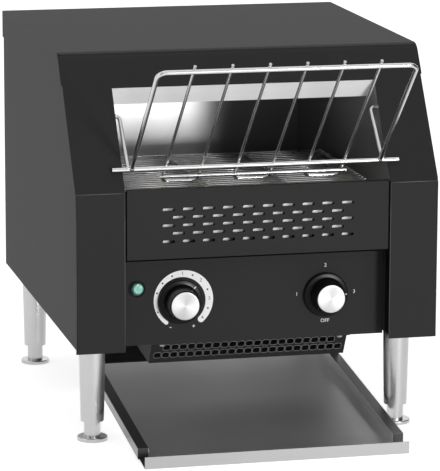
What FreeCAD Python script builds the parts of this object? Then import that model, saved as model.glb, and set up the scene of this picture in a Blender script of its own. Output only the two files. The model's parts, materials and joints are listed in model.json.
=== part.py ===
import FreeCAD, Part
import math
import os

# Conveyor toaster. Millimetres, +Z up, the front faces -Y.
# Sizes below are measured from the front face of the pillars (y = 0), the
# middle plane (x = 0) and the table (z = 0). The finished parts are moved
# along Y so that the origin is the middle of the bounding box, on the table.

# Casing
body_width = 368.0
body_depth = 418.0
body_height = 386.8
sheet = 1.2
liner_sheet = 1.0
pillar_width = 49.3
pillar_drop = 4.7
side_bottom = 105.6
corner_radius = 2.0
slant_foot_height = 260.5
slant_run = 0.685
cover_flange = 28.5
cover_bend_radius = 16.0
hem_width = 4.0
return_width = 14.0
side_gap = 0.3
vent_panel_height = 69.0
vent_panel_rise = 1.5
vent_panel_margin = 2.0
vent_panel_setback = 0.5
vent_lip = 9.0
panel_setback = 23.0
panel_drop = 4.0
panel_flange = 14.0

# Ventilation slots
slot_rows = 5
slot_columns = 10
slot_pitch = 20.2
slot_row_pitch = 8.0
slot_length = 12.4
slot_height = 3.0
slot_middle_drop = 36.0
vent_liner_gap = 2.6
vent_liner_height = 58.0
vent_liner_margin = 8.0
liner_hole_radius = 3.0

# Chamber
rear_space = 48.0
roof_drop = 12.3
roof_front_gap = 27.5
roof_lip = 10.0
strip_drop = 19.5
strip_reach = 15.0
shield_back = 142.0
shield_drop = 3.0
shield_front_gap = 6.0

# Conveyor
belt_drop = 7.0
belt_front = 10.5
shaft_spacing = 205.0
belt_radius = 16.0
belt_wire_radius = 1.0
belt_side_gap = 9.0
belt_wires = 56
belt_link_width = 3.0
belt_link_thickness = 1.2
belt_links = 4
shaft_radius = 5.0
wheel_width = 5.0
wheel_teeth = 10
wheel_clearance = 0.4
tooth_depth = 2.4
bush_radius = 8.0
bush_flange_radius = 10.5
bush_flange = 1.5
bush_length = 6.0
fit = 0.05
sprocket_gap = 4.0
shaft_overhang = 3.0
motor_shaft_seat = 11.0
chain_width = 4.0
chain_thickness = 3.0
driven_radius = 17.0
drive_radius = 12.0
motor_drop = 74.0
motor_radius = 28.0
motor_length = 16.0
gearbox_side = 46.0
gearbox_length = 16.0
motor_shaft_radius = 4.0

# Heating
heater_radius = 4.5
heaters = 4
upper_heater_drop = 12.0
upper_heater_first = 124.0
heater_pitch = 38.0
lower_heater_first = 70.0
heater_overhang = 12.0
insulator_radius = 8.0
insulator_length = 9.0
heater_hole_clearance = 0.3

# Exit ramp
ramp_side_gap = 7.0
ramp_drop = 27.0
ramp_bend_radius = 90.0
ramp_angle = 25.0
ramp_lip_front = 150.0
ramp_flange = 12.0
base_opening_front = 150.0
base_opening_margin = 3.5

# Exit guard
guard_side_gap = 33.7
guard_screw_inset = 10.0
guard_front = 33.5
guard_lean = 15.0
guard_drop = 25.1
guard_cheek_rise = 6.0
guard_cheek = 80.0
guard_flange = 9.0
guard_pitch = 8.5
guard_row_pitch = 10.4
guard_hole = 6.9
guard_hole_corner = 1.6
guard_holes_upper = 21
guard_holes_lower = 23
guard_first_row = 8.4

# Toast tray
tray_front = -67.5
tray_back = 240.0
tray_slope = 0.1
tray_leg_gap = 24.6
tray_rail_step = 1.7
tray_rail_width = 10.0
tray_wall = 11.0
tray_rail_end = 27.0
tray_offset = 4.0
carrier_front = 202.0
carrier_length = 36.0
carrier_clearance = 0.3
carrier_sheet = 1.5
carrier_flange = 12.0
carrier_ledge = 15.0

# Loading rack
rack_angle = 42.5
rack_length = 168.0
rack_side_gap = 8.7
rack_wire = 2.3
rack_corner = 9.0
rack_rod_overhang = 10.7
rack_rest_rise = 19.5
rack_rest_gap = 0.3
guide_wire = 1.5
guide_pitch = 36.3
guide_overhang = 3.5
guide_tail = 30.0
guide_corner = 6.0
tie_offset = 17.0
tie_half = 95.0
weld_gap = 0.05
hook_back = 57.0
hook_rise = 47.0
arm_wire = 2.0
arm_side_gap = 6.0
arm_pin_overhang = 5.0
arm_bend = 4.5

# Controls
knob_inset = 60.2
knob_rise = 43.1
skirt_radius = 22.5
skirt_thickness = 4.5
knob_gap = 0.6
grip_radius = 17.0
grip_tip_radius = 15.2
knob_protrusion = 24.0
cap_radius = 14.3
cap_thickness = 1.2
knob_hollow_radius = 11.0
knob_hollow_depth = 6.0
control_shaft_radius = 3.0
shaft_tip_depth = 7.0
shaft_seat = 8.0
shaft_seat_clearance = 1.0
nut_radius = 7.5
nut_thickness = 2.5
pot_radius = 12.0
pot_depth = 13.0
switch_side = 38.0
switch_depth = 30.0
lamp_inset = 16.4
lamp_rise = 57.5
lamp_radius = 7.4
lamp_bezel_radius = 8.4
lamp_dome = 3.0
lamp_rim = 1.4
lamp_seat = 0.4
lamp_body_radius = 6.0
lamp_body_length = 26.0

# Legs and feet
leg_side_inset = 25.9
leg_front = 52.8
leg_back_inset = 34.5
leg_bottom = 20.0
leg_top_radius = 13.5
leg_tip_radius = 11.8
foot_stem_radius = 8.35
foot_disc_radius = 15.5
foot_disc = 4.0
foot_stem = 44.0
foot_stem_clearance = 3.0
foot_travel_in = 12.0
foot_travel_out = 8.0
bolt_radius = 4.0
bolt_depth = 24.0
bolt_head_radius = 7.0
bolt_head = 5.0

# Rear
fan_side = 80.0
fan_depth = 20.0
fan_radius = 36.0
fan_hub_radius = 14.0
fan_blades = 7
fan_position = 60.0
fan_rise = 69.4
fan_arm = 3.0
fan_arm_width = 5.0
fan_gap = 1.0
fan_rotor_length = 12.0
fan_blade_chord = 13.0
fan_blade_thickness = 2.0
fan_blade_pitch = 38.0
fan_pin_length = 11.0
fan_bore_depth = 8.0
fan_screw_inset = 4.5
fan_tip_clearance = 1.5
fan_pin_radius = 3.0
grille_slots = 9
grille_pitch = 8.0
grille_slot = 4.0
grille_length = 62.0
gland_inset = 74.0
gland_rise = 29.4
gland_nose = 6.0
gland_radius = 8.0
gland_bore = 4.5
gland_nut_radius = 11.0
gland_length = 10.0
gland_flange = 3.0
screw_radius = 2.0
screw_head_radius = 3.8
screw_head = 2.2
screw_length = 7.0
screw_clearance = 0.2
rear_screw_inset = 9.0
rear_screw_low = 20.0
rear_screw_high = 40.0

# Values that follow
half_body = body_width / 2
inner_edge = half_body - pillar_width
slant_angle = math.atan(slant_run)
wall_face = inner_edge + side_gap
wall_outer = wall_face + liner_sheet
rear_inside = body_depth - sheet
wall_back = body_depth - rear_space
base_bottom = side_bottom - sheet
pillar_bottom = side_bottom - pillar_drop
panel_bottom = side_bottom - panel_drop
cover_seam_height = body_height - cover_flange
opening_top_height = cover_seam_height - hem_width
vent_panel_top = slant_foot_height + vent_panel_rise
vent_panel_bottom = vent_panel_top - vent_panel_height
slot_middle_height = vent_panel_top - slot_middle_drop
roof_height = cover_seam_height - roof_drop
shield_top = vent_panel_bottom - shield_drop
belt_top = vent_panel_top - belt_drop
belt_half_width = wall_face - belt_side_gap
shaft_height = belt_top - belt_radius
front_shaft = belt_front + belt_radius
rear_shaft = front_shaft + shaft_spacing
motor_height = shaft_height - motor_drop
gearbox_end = wall_outer + motor_length + gearbox_length
chain_plane = gearbox_end + sprocket_gap
upper_heater_height = roof_height - upper_heater_drop
ramp_half_width = wall_face - ramp_side_gap
ramp_top = shaft_height - ramp_drop
guard_half_width = inner_edge - guard_side_gap
guard_bottom = panel_bottom - guard_drop
leg_position = half_body - leg_side_inset
leg_back = body_depth - leg_back_inset
leg_top = base_bottom
tray_half_width = leg_position - tray_leg_gap
tray_rail_half_width = tray_half_width + tray_rail_step
rack_half_width = inner_edge - rack_side_gap
rack_rod_half = inner_edge + rack_rod_overhang
rack_rest_height = slant_foot_height + rack_rest_rise
hook_height = rack_rest_height + hook_rise
arm_position = wall_face - arm_side_gap
arm_pin_end = wall_outer + arm_pin_overhang
knob_position = inner_edge - knob_inset
knob_height = panel_bottom + knob_rise
lamp_position = inner_edge - lamp_inset
lamp_height = panel_bottom + lamp_rise
foot_stem_top = foot_disc + foot_stem
fan_height = side_bottom + fan_rise
gland_position = gland_inset - half_body
gland_height = side_bottom + gland_rise
parts_dir = "parts"

V = FreeCAD.Vector


def slant_y(z):
    """Depth of the casing's slanted front at a height."""
    return (z - slant_foot_height) * slant_run


def block(x0, x1, y0, y1, z0, z1):
    return Part.makeBox(x1 - x0, y1 - y0, z1 - z0, V(x0, y0, z0))


def rod(radius, start, end):
    line = V(*end) - V(*start)
    return Part.makeCylinder(radius, line.Length, V(*start), line)


def cone(radius_start, radius_end, start, end):
    line = V(*end) - V(*start)
    return Part.makeCone(radius_start, radius_end, line.Length, V(*start), line)


def side_prism(points, x0, x1):
    """A (y, z) outline carried along X."""
    corners = [V(x0, y, z) for y, z in points]
    face = Part.Face(Part.makePolygon(corners + corners[:1]))
    return face.extrude(V(x1 - x0, 0, 0))


def strip(y0, z0, y1, z1, thickness, x0, x1):
    """A flat sheet seen edge-on as the line (y0, z0) to (y1, z1), thickened to its left."""
    length = math.hypot(y1 - y0, z1 - z0)
    dy = -(z1 - z0) / length * thickness
    dz = (y1 - y0) / length * thickness
    outline = [(y0, z0), (y1, z1), (y1 + dy, z1 + dz), (y0 + dy, z0 + dz)]
    return side_prism(outline, x0, x1)


def fuse(shapes):
    joined = shapes[0].fuse(shapes[1:]) if len(shapes) > 1 else shapes[0]
    return joined.removeSplitter()


def mirror(shape):
    return shape.mirror(V(0, 0, 0), V(1, 0, 0))


def bent_wire(points, bend, radius):
    """A round wire along straight runs joined by arcs of one bend radius."""
    edges = []
    start = V(*points[0])
    for i in range(1, len(points) - 1):
        here = V(*points[i])
        before = (V(*points[i - 1]) - here).normalize()
        after = (V(*points[i + 1]) - here).normalize()
        half_turn = before.getAngle(after) / 2
        trim = bend / math.tan(half_turn)
        arc_start = here + before * trim
        arc_end = here + after * trim
        middle = (before + after).normalize()
        crown = here + middle * (bend / math.sin(half_turn) - bend)
        edges.append(Part.LineSegment(start, arc_start).toShape())
        edges.append(Part.Arc(arc_start, crown, arc_end).toShape())
        start = arc_end
    edges.append(Part.LineSegment(start, V(*points[-1])).toShape())
    path = Part.Wire(edges)
    first = V(*points[0])
    profile = Part.Wire([Part.Circle(first, V(*points[1]) - first, radius).toShape()])
    return path.makePipeShell([profile], True, False)


def loop_outline(x, centre_a, radius_a, centre_b, radius_b):
    """The outline of a band around two wheels in a plane of constant x."""
    ay, az = centre_a
    by, bz = centre_b
    span = math.hypot(by - ay, bz - az)
    along = math.atan2(bz - az, by - ay)
    lean = math.acos((radius_a - radius_b) / span)

    def on(centre, radius, angle):
        return V(x, centre[0] + radius * math.cos(angle), centre[1] + radius * math.sin(angle))

    a1 = on(centre_a, radius_a, along + lean)
    a2 = on(centre_a, radius_a, along - lean)
    far_a = on(centre_a, radius_a, along + math.pi)
    b1 = on(centre_b, radius_b, along + lean)
    b2 = on(centre_b, radius_b, along - lean)
    far_b = on(centre_b, radius_b, along)
    return Part.Wire([
        Part.Arc(a1, far_a, a2).toShape(),
        Part.LineSegment(a2, b2).toShape(),
        Part.Arc(b2, far_b, b1).toShape(),
        Part.LineSegment(b1, a1).toShape(),
    ])


def loop_band(x0, width, centre_a, radius_a, centre_b, radius_b, thickness):
    outer = loop_outline(x0, centre_a, radius_a + thickness, centre_b, radius_b + thickness)
    inner = loop_outline(x0, centre_a, radius_a, centre_b, radius_b)
    solid = Part.Face(outer).extrude(V(width, 0, 0))
    return solid.cut(Part.Face(inner).extrude(V(width, 0, 0)))


def toothed_wheel(x0, width, y, z, radius, depth, teeth, bore):
    """A chain wheel with straight-sided teeth, its axis along X."""
    corners = []
    for i in range(teeth):
        for share, reach in ((0.0, -depth), (0.3, -depth), (0.42, 0.0), (0.88, 0.0)):
            angle = 2 * math.pi * (i + share) / teeth
            r = radius + reach
            corners.append(V(x0, y + r * math.cos(angle), z + r * math.sin(angle)))
    face = Part.Face(Part.makePolygon(corners + corners[:1]))
    wheel = face.extrude(V(width, 0, 0))
    return wheel.cut(rod(bore, (x0 - 1, y, z), (x0 + width + 1, y, z)))


def obround(x, z, y0, y1, length, height):
    """A slot's volume, long in X, through a sheet in the XZ plane."""
    half = (length - height) / 2
    left = rod(height / 2, (x - half, y0, z), (x - half, y1, z))
    right = rod(height / 2, (x + half, y0, z), (x + half, y1, z))
    middle = block(x - half, x + half, y0, y1, z - height / 2, z + height / 2)
    return left.fuse([right, middle])


# Casing
def screw_at(point, direction, length=screw_length):
    """A pan-head screw: the head lies on the surface, the shank goes in."""
    tip = V(*direction) * length
    lift = V(*direction) * -screw_head
    start = V(*point)
    shank = rod(screw_radius, start, start + tip)
    head = cone(screw_head_radius, screw_head_radius * 0.75, start, start + lift)
    return head.fuse(shank)


def screw_hole(point, direction, length=screw_length):
    reach = V(*direction) * (length + 2)
    start = V(*point) - V(*direction)
    return rod(screw_radius + screw_clearance, start, start + reach)


def rear_screw_points():
    low = side_bottom + rear_screw_low
    high = body_height - rear_screw_high
    heights = [low, (low + high) / 2, high]
    x = half_body - rear_screw_inset
    return [(sx * x, body_depth, z) for sx in (-1, 1) for z in heights]


def side_panel():
    """The right-hand panel: side, front pillar with its slanted head, rear and bottom returns."""
    top = body_height - sheet
    seam_y = slant_y(cover_seam_height)
    side = side_prism([
        (0, side_bottom),
        (0, slant_foot_height),
        (seam_y, cover_seam_height),
        (seam_y + sheet * math.cos(slant_angle),
         cover_seam_height - sheet * math.sin(slant_angle)),
        (slant_y(top) + sheet / math.cos(slant_angle), top),
        (body_depth, top),
        (body_depth, side_bottom),
    ], half_body - sheet, half_body)
    pillar = block(inner_edge, half_body, 0, sheet, pillar_bottom, slant_foot_height)
    slant = strip(slant_y(cover_seam_height), cover_seam_height, 0, slant_foot_height,
                  sheet, inner_edge, half_body)
    rear = block(half_body - return_width, half_body,
                 rear_inside - sheet, rear_inside, side_bottom, top)
    lower = block(half_body - return_width, half_body,
                  sheet, rear_inside, side_bottom, side_bottom + sheet)
    panel = fuse([side, pillar, slant, rear, lower])
    corner = [e for e in panel.Edges if is_corner(e)]
    panel = panel.makeFillet(corner_radius, corner)
    holes = [screw_hole(p, (0, -1, 0)) for p in rear_screw_points() if p[0] > 0]
    return panel.cut(holes)


def is_corner(edge):
    """True for the upright outer edge between the side and its pillar."""
    ends = [v.Point for v in edge.Vertexes]
    if len(ends) != 2:
        return False
    at_corner = all(abs(p.x - half_body) < 0.01 and abs(p.y) < 0.01 for p in ends)
    return at_corner and abs(ends[0].z - ends[1].z) > 1


def top_cover():
    """Cover bent over the front, with a flange down each side."""
    outer_x = half_body + sheet
    corner_y = slant_y(body_height)
    back = body_depth
    top = block(-outer_x, outer_x, corner_y, back, body_height - sheet, body_height)
    slant = strip(corner_y, body_height, slant_y(cover_seam_height), cover_seam_height,
                  sheet, -outer_x, outer_x)
    hem = strip(slant_y(cover_seam_height), cover_seam_height,
                slant_y(opening_top_height), opening_top_height,
                sheet, -inner_edge, inner_edge)
    outline = [
        (slant_y(cover_seam_height), cover_seam_height),
        (corner_y, body_height),
        (back, body_height),
        (back, cover_seam_height),
    ]
    flanges = [side_prism(outline, half_body, outer_x), side_prism(outline, -outer_x, -half_body)]
    cover = fuse([top, slant, hem] + flanges)
    bend = [e for e in cover.Edges if is_front_bend(e, corner_y)]
    return cover.makeFillet(cover_bend_radius, bend)


def is_front_bend(edge, corner_y):
    ends = [v.Point for v in edge.Vertexes]
    if len(ends) != 2:
        return False
    at_bend = all(abs(p.y - corner_y) < 0.01 and abs(p.z - body_height) < 0.01 for p in ends)
    return at_bend and abs(ends[0].x - ends[1].x) > body_width / 2


def rear_panel():
    half = half_body - sheet
    panel = block(-half, half, rear_inside, body_depth, side_bottom, body_height - sheet)
    cuts = [screw_hole(p, (0, -1, 0)) for p in rear_screw_points()]
    for i in range(grille_slots):
        z = fan_height + (i - (grille_slots - 1) / 2) * grille_pitch
        cuts.append(obround(fan_position, z, rear_inside - 1, body_depth + 1,
                            grille_length, grille_slot))
    cuts.append(rod(gland_radius + fit, (gland_position, rear_inside - 1, gland_height),
                    (gland_position, body_depth + 1, gland_height)))
    cuts += [screw_hole(p, (0, -1, 0)) for p in fan_screw_points()]
    return panel.cut(cuts)


def base_plate():
    half = half_body - sheet
    plate = block(-half, half, sheet, rear_inside, base_bottom, side_bottom)
    recess = block(-inner_edge - side_gap, inner_edge + side_gap, 0, panel_setback + sheet,
                   base_bottom - 1, side_bottom + 1)
    opening = block(-ramp_half_width - base_opening_margin, ramp_half_width + base_opening_margin,
                    base_opening_front, wall_back, base_bottom - 1, side_bottom + 1)
    cuts = [opening, recess]
    cuts += [screw_hole(p, (0, 0, 1)) for p in guard_screw_points()]
    for x, y in leg_places():
        cuts.append(rod(bolt_radius + screw_clearance, (x, y, base_bottom - 1),
                        (x, y, side_bottom + 1)))
    return plate.cut(cuts)


def vent_panel():
    """Slotted front panel under the loading opening, with a lip along its top and bottom."""
    half = inner_edge - vent_panel_margin
    y0 = vent_panel_setback
    face = block(-half, half, y0, y0 + sheet, vent_panel_bottom, vent_panel_top)
    upper = block(-half, half, y0, y0 + vent_lip, vent_panel_top - sheet, vent_panel_top)
    lower = block(-half, half, y0, panel_setback + sheet, vent_panel_bottom,
                  vent_panel_bottom + sheet)
    cuts = []
    for row in range(slot_rows):
        count = slot_columns - row % 2
        z = slot_middle_height + ((slot_rows - 1) / 2 - row) * slot_row_pitch
        for column in range(count):
            x = (column - (count - 1) / 2) * slot_pitch
            cuts.append(obround(x, z, y0 - 1, y0 + sheet + 1, slot_length, slot_height))
    return fuse([face, upper, lower]).cut(cuts)


def vent_liner():
    """Perforated steel sheet standing behind the slots."""
    half = inner_edge - vent_panel_margin - vent_liner_margin
    y0 = vent_panel_setback + sheet + vent_liner_gap
    z0 = vent_panel_bottom + sheet
    liner = block(-half, half, y0, y0 + liner_sheet, z0, z0 + vent_liner_height)
    cuts = []
    for row in range(slot_rows + 1):
        count = slot_columns + row % 2
        z = slot_middle_height + (slot_rows / 2 - row) * slot_row_pitch
        for column in range(count):
            x = (column - (count - 1) / 2) * slot_pitch
            cuts.append(rod(liner_hole_radius, (x, y0 - 1, z), (x, y0 + liner_sheet + 1, z)))
    return liner.cut(cuts)


def control_panel():
    """Recessed panel that carries the lamp and the two knobs."""
    y0 = panel_setback
    face = block(-inner_edge, inner_edge, y0, y0 + sheet, panel_bottom, vent_panel_bottom)
    flange = block(-inner_edge, inner_edge, y0, y0 + panel_flange, panel_bottom,
                   panel_bottom + sheet)
    cuts = []
    for x in (-knob_position, knob_position):
        cuts.append(rod(control_shaft_radius + fit, (x, y0 - 1, knob_height),
                        (x, y0 + sheet + 1, knob_height)))
    cuts.append(rod(lamp_body_radius + fit, (-lamp_position, y0 - 1, lamp_height),
                    (-lamp_position, y0 + sheet + 1, lamp_height)))
    cuts += [screw_hole(p, (0, 0, 1)) for p in guard_screw_points()]
    return fuse([face, flange]).cut(cuts)


# Chamber
def inner_wall():
    """The right-hand chamber wall, with its bush, heater and rack holes."""
    front = sheet + side_gap
    slant_foot = slant_foot_height
    wall = side_prism([
        (front, side_bottom),
        (front, slant_foot),
        (front + slant_y(cover_seam_height), cover_seam_height),
        (wall_back, cover_seam_height),
        (wall_back, side_bottom),
    ], wall_face, wall_outer)
    cuts = []

    def through(y, z, radius):
        cuts.append(rod(radius, (wall_face - 1, y, z), (wall_outer + 1, y, z)))

    for y in (front_shaft, rear_shaft):
        through(y, shaft_height, bush_radius)
    for y, z in heater_places():
        through(y, z, heater_radius + heater_hole_clearance)
    through(hook_back, hook_height, arm_wire + fit)
    return wall.cut(cuts)


def deflector_strip():
    """Bright sheet that leads bread down from the top edge of the opening."""
    y0 = slant_y(opening_top_height) + sheet / math.cos(slant_angle) + side_gap
    return strip(y0, opening_top_height, y0 + strip_reach, opening_top_height - strip_drop,
                 liner_sheet, -wall_face, wall_face)


def back_wall():
    return block(-wall_face, wall_face, wall_back - liner_sheet, wall_back,
                 ramp_top, roof_height)


def chamber_roof():
    front = slant_y(opening_top_height) + roof_front_gap
    top = block(-wall_face, wall_face, front, wall_back, roof_height,
                roof_height + liner_sheet)
    lip = block(-wall_face, wall_face, front, front + liner_sheet,
                roof_height, roof_height + roof_lip)
    return fuse([top, lip])


def controls_shield():
    """Sheet that keeps crumbs and heat off the controls."""
    y0 = panel_setback + sheet + shield_front_gap
    top = block(-wall_face, wall_face, y0, shield_back, shield_top, shield_top + liner_sheet)
    back = block(-wall_face, wall_face, shield_back - liner_sheet, shield_back,
                 side_bottom, shield_top + liner_sheet)
    return fuse([top, back])


# Conveyor
def conveyor_belt():
    """Cross wires held at an even pitch by flat link strands."""
    inner = belt_radius - belt_wire_radius - belt_link_thickness / 2
    front = (front_shaft, shaft_height)
    rear = (rear_shaft, shaft_height)
    reach = belt_half_width - belt_link_width / 2
    pieces = []
    for i in range(belt_links):
        x = -reach + 2 * reach * i / (belt_links - 1) - belt_link_width / 2
        pieces.append(loop_band(x, belt_link_width, front, inner, rear, inner,
                                belt_link_thickness))
    mid = belt_radius - belt_wire_radius
    arc = math.pi * mid
    length = 2 * (arc + shaft_spacing)
    for i in range(belt_wires):
        s = length * i / belt_wires
        if s < shaft_spacing:
            y, z = front_shaft + s, shaft_height + mid
        elif s < shaft_spacing + arc:
            turn = (s - shaft_spacing) / mid
            y, z = rear_shaft + mid * math.sin(turn), shaft_height + mid * math.cos(turn)
        elif s < 2 * shaft_spacing + arc:
            y, z = rear_shaft - (s - shaft_spacing - arc), shaft_height - mid
        else:
            turn = (s - 2 * shaft_spacing - arc) / mid
            y, z = front_shaft - mid * math.sin(turn), shaft_height - mid * math.cos(turn)
        pieces.append(rod(belt_wire_radius, (-belt_half_width, y, z), (belt_half_width, y, z)))
    return pieces[0].fuse(pieces[1:])


def conveyor_shaft(y, end):
    return rod(shaft_radius, (-bush_end(), y, shaft_height), (end, y, shaft_height))


def bush_end():
    return wall_face - bush_flange + bush_length + shaft_overhang


def belt_wheels(y):
    """Four wheels that sit just inside the belt's link strands."""
    reach = belt_half_width - belt_link_width / 2
    radius = belt_radius - 2 * belt_wire_radius - wheel_clearance
    wheels = []
    for i in range(belt_links):
        x = -reach + 2 * reach * i / (belt_links - 1) - wheel_width / 2
        wheels.append(toothed_wheel(x, wheel_width, y, shaft_height, radius, tooth_depth,
                                    wheel_teeth, shaft_radius))
    return Part.makeCompound(wheels)


def bushes():
    pieces = []
    for y in (front_shaft, rear_shaft):
        x0 = wall_face - bush_flange
        flange = rod(bush_flange_radius, (x0, y, shaft_height), (wall_face, y, shaft_height))
        sleeve = rod(bush_radius, (wall_face, y, shaft_height),
                     (x0 + bush_length, y, shaft_height))
        bore = rod(shaft_radius + fit, (x0 - 1, y, shaft_height),
                   (x0 + bush_length + 1, y, shaft_height))
        bush = fuse([flange, sleeve]).cut(bore)
        pieces += [bush, mirror(bush)]
    return Part.makeCompound(pieces)


def motor():
    """Flat synchronous motor bolted to the right-hand chamber wall."""
    start = (wall_outer, rear_shaft, motor_height)
    end = (wall_outer + motor_length, rear_shaft, motor_height)
    return rod(motor_radius, start, end)


def gearbox():
    half = gearbox_side / 2
    box = block(wall_outer + motor_length, gearbox_end, rear_shaft - half, rear_shaft + half,
                motor_height - half, motor_height + half)
    bore = rod(motor_shaft_radius + fit, (gearbox_end - motor_shaft_seat - 1, rear_shaft, motor_height),
               (gearbox_end + 1, rear_shaft, motor_height))
    return box.cut(bore)


def motor_shaft():
    return rod(motor_shaft_radius, (gearbox_end - motor_shaft_seat, rear_shaft, motor_height),
               (chain_plane + chain_width + shaft_overhang, rear_shaft, motor_height))


def drive_sprocket():
    return toothed_wheel(chain_plane, chain_width, rear_shaft, motor_height, drive_radius,
                         tooth_depth, 12, motor_shaft_radius)


def driven_sprocket():
    return toothed_wheel(chain_plane, chain_width, rear_shaft, shaft_height, driven_radius,
                         tooth_depth, 17, shaft_radius)


def drive_chain():
    return loop_band(chain_plane, chain_width, (rear_shaft, shaft_height),
                     driven_radius + wheel_clearance, (rear_shaft, motor_height),
                     drive_radius + wheel_clearance, chain_thickness)


# Heating
def heater_places():
    upper = [(upper_heater_first + i * heater_pitch, upper_heater_height) for i in range(heaters)]
    lower = [(lower_heater_first + i * heater_pitch, shaft_height) for i in range(heaters)]
    return upper + lower


def heating_elements():
    reach = wall_outer + heater_overhang
    return Part.makeCompound([rod(heater_radius, (-reach, y, z), (reach, y, z))
                              for y, z in heater_places()])


def heater_insulators():
    """Ceramic ends outside the chamber walls, one at each end of every element."""
    pieces = []
    for y, z in heater_places():
        ring = rod(insulator_radius, (wall_outer, y, z), (wall_outer + insulator_length, y, z))
        ring = ring.cut(rod(heater_radius + fit, (wall_outer - 1, y, z),
                            (wall_outer + insulator_length + 1, y, z)))
        pieces += [ring, mirror(ring)]
    return Part.makeCompound(pieces)


# Exit
def ramp_profile():
    """Steep at the back wall, then a straight slide forward under the belt."""
    slope = math.radians(ramp_angle)
    y0 = wall_back - liner_sheet
    centre_y = y0 - ramp_bend_radius
    arc_end = V(0, centre_y + ramp_bend_radius * math.sin(slope),
                ramp_top - ramp_bend_radius * math.cos(slope))
    arc_mid_angle = (math.pi / 2 + slope) / 2
    arc_mid = V(0, centre_y + ramp_bend_radius * math.sin(arc_mid_angle),
                ramp_top - ramp_bend_radius * math.cos(arc_mid_angle))
    arc_start = V(0, y0, ramp_top)
    run = arc_end.y - ramp_lip_front
    lip = V(0, ramp_lip_front, arc_end.z - run * math.tan(slope))
    return arc_start, arc_mid, arc_end, lip


def ramp_sheet(half_width, thickness):
    """The ramp's curved strip, thickened on its upper side."""
    arc_start, arc_mid, arc_end, lip = ramp_profile()
    slope = math.radians(ramp_angle)
    centre = V(0, wall_back - liner_sheet - ramp_bend_radius, ramp_top)
    shift = V(0, -math.sin(slope), math.cos(slope)) * thickness

    def inward(point):
        return point + (centre - point).normalize() * thickness

    edges = [
        Part.Arc(arc_start, arc_mid, arc_end).toShape(),
        Part.LineSegment(arc_end, lip).toShape(),
        Part.LineSegment(lip, lip + shift).toShape(),
        Part.LineSegment(lip + shift, inward(arc_end)).toShape(),
        Part.Arc(inward(arc_end), inward(arc_mid), inward(arc_start)).toShape(),
        Part.LineSegment(inward(arc_start), arc_start).toShape(),
    ]
    face = Part.Face(Part.Wire(edges))
    face.translate(V(-half_width, 0, 0))
    return face.extrude(V(2 * half_width, 0, 0))


def exit_ramp():
    deep = ramp_sheet(ramp_half_width, ramp_flange)
    inside = block(-ramp_half_width + liner_sheet, ramp_half_width - liner_sheet,
                   0, body_depth, 0, body_height)
    flanges = deep.cut(inside)
    floor = ramp_sheet(ramp_half_width, liner_sheet)
    return fuse([floor, flanges])


def guard_screw_points():
    x = guard_half_width - guard_screw_inset
    return [(sx * x, guard_front - guard_flange / 2, panel_bottom - liner_sheet)
            for sx in (-1, 1)]


def exit_guard():
    """Leaning plate with two rows of square holes, a fixing flange and two cheeks."""
    half = guard_half_width
    z_top = panel_bottom
    drop = z_top - guard_bottom
    length = math.hypot(drop, guard_lean)
    lean = math.atan2(guard_lean, drop)
    plate = block(-half, half, 0, liner_sheet, -length, 0)
    cuts = []
    hole_half = guard_hole / 2
    for row, count in enumerate((guard_holes_upper, guard_holes_lower)):
        z = -guard_first_row - row * guard_row_pitch
        for column in range(count):
            x = (column - (count - 1) / 2) * guard_pitch
            hole = block(x - hole_half, x + hole_half, -1, liner_sheet + 1,
                         z - hole_half, z + hole_half)
            upright = [e for e in hole.Edges if abs(e.tangentAt(e.FirstParameter).y) > 0.9]
            cuts.append(hole.makeFillet(guard_hole_corner, upright))
    plate = plate.cut(cuts)
    plate.rotate(V(0, 0, 0), V(1, 0, 0), math.degrees(lean))
    plate.translate(V(0, guard_front, z_top))
    flange = block(-half, half, guard_front - guard_flange, guard_front + liner_sheet,
                   z_top - liner_sheet, z_top)
    back = guard_front + guard_lean + guard_cheek
    cheek = side_prism([
        (guard_front, z_top),
        (guard_front + guard_lean, guard_bottom),
        (back, guard_bottom + guard_cheek_rise),
        (back, z_top),
    ], half - liner_sheet, half)
    below = block(-half - 1, half + 1, 0, body_depth, z_top, body_height)
    guard = fuse([plate, flange, cheek, mirror(cheek)]).cut(below)
    return guard.cut([screw_hole(p, (0, 0, 1)) for p in guard_screw_points()])


# Toast tray
def tray_z(y):
    """Height of the tray floor's underside."""
    return (y - tray_front) * tray_slope


def sloped_band(y0, y1, low, high, x0, x1):
    """A block that follows the tray's slope, low and high above the floor's underside."""
    return side_prism([
        (y0, tray_z(y0) + low),
        (y1, tray_z(y1) + low),
        (y1, tray_z(y1) + high),
        (y0, tray_z(y0) + high),
    ], x0, x1)


def toast_tray():
    """Sloping sheet tray: front wall, and side walls with a down-turned hem that stop short of the front."""
    t = liner_sheet
    half = tray_half_width
    inner = tray_rail_half_width - tray_rail_width
    rail_front = tray_front + tray_rail_end
    pieces = [
        sloped_band(tray_front, tray_back, 0, t, -inner, inner),
        sloped_band(tray_front, rail_front, 0, t, -half, half),
        block(-half, half, tray_front, tray_front + t, 0, tray_wall + t),
    ]
    side = [
        sloped_band(rail_front, tray_back, 0, tray_wall, inner - t, inner),
        sloped_band(rail_front, tray_back, tray_wall - t, tray_wall, inner - t,
                    tray_rail_half_width),
        sloped_band(rail_front, tray_back, t, tray_wall, tray_rail_half_width - t,
                    tray_rail_half_width),
    ]
    pieces += side + [mirror(s) for s in side]
    tray = fuse(pieces)
    tray.translate(V(tray_offset, 0, 0))
    return tray


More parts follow.
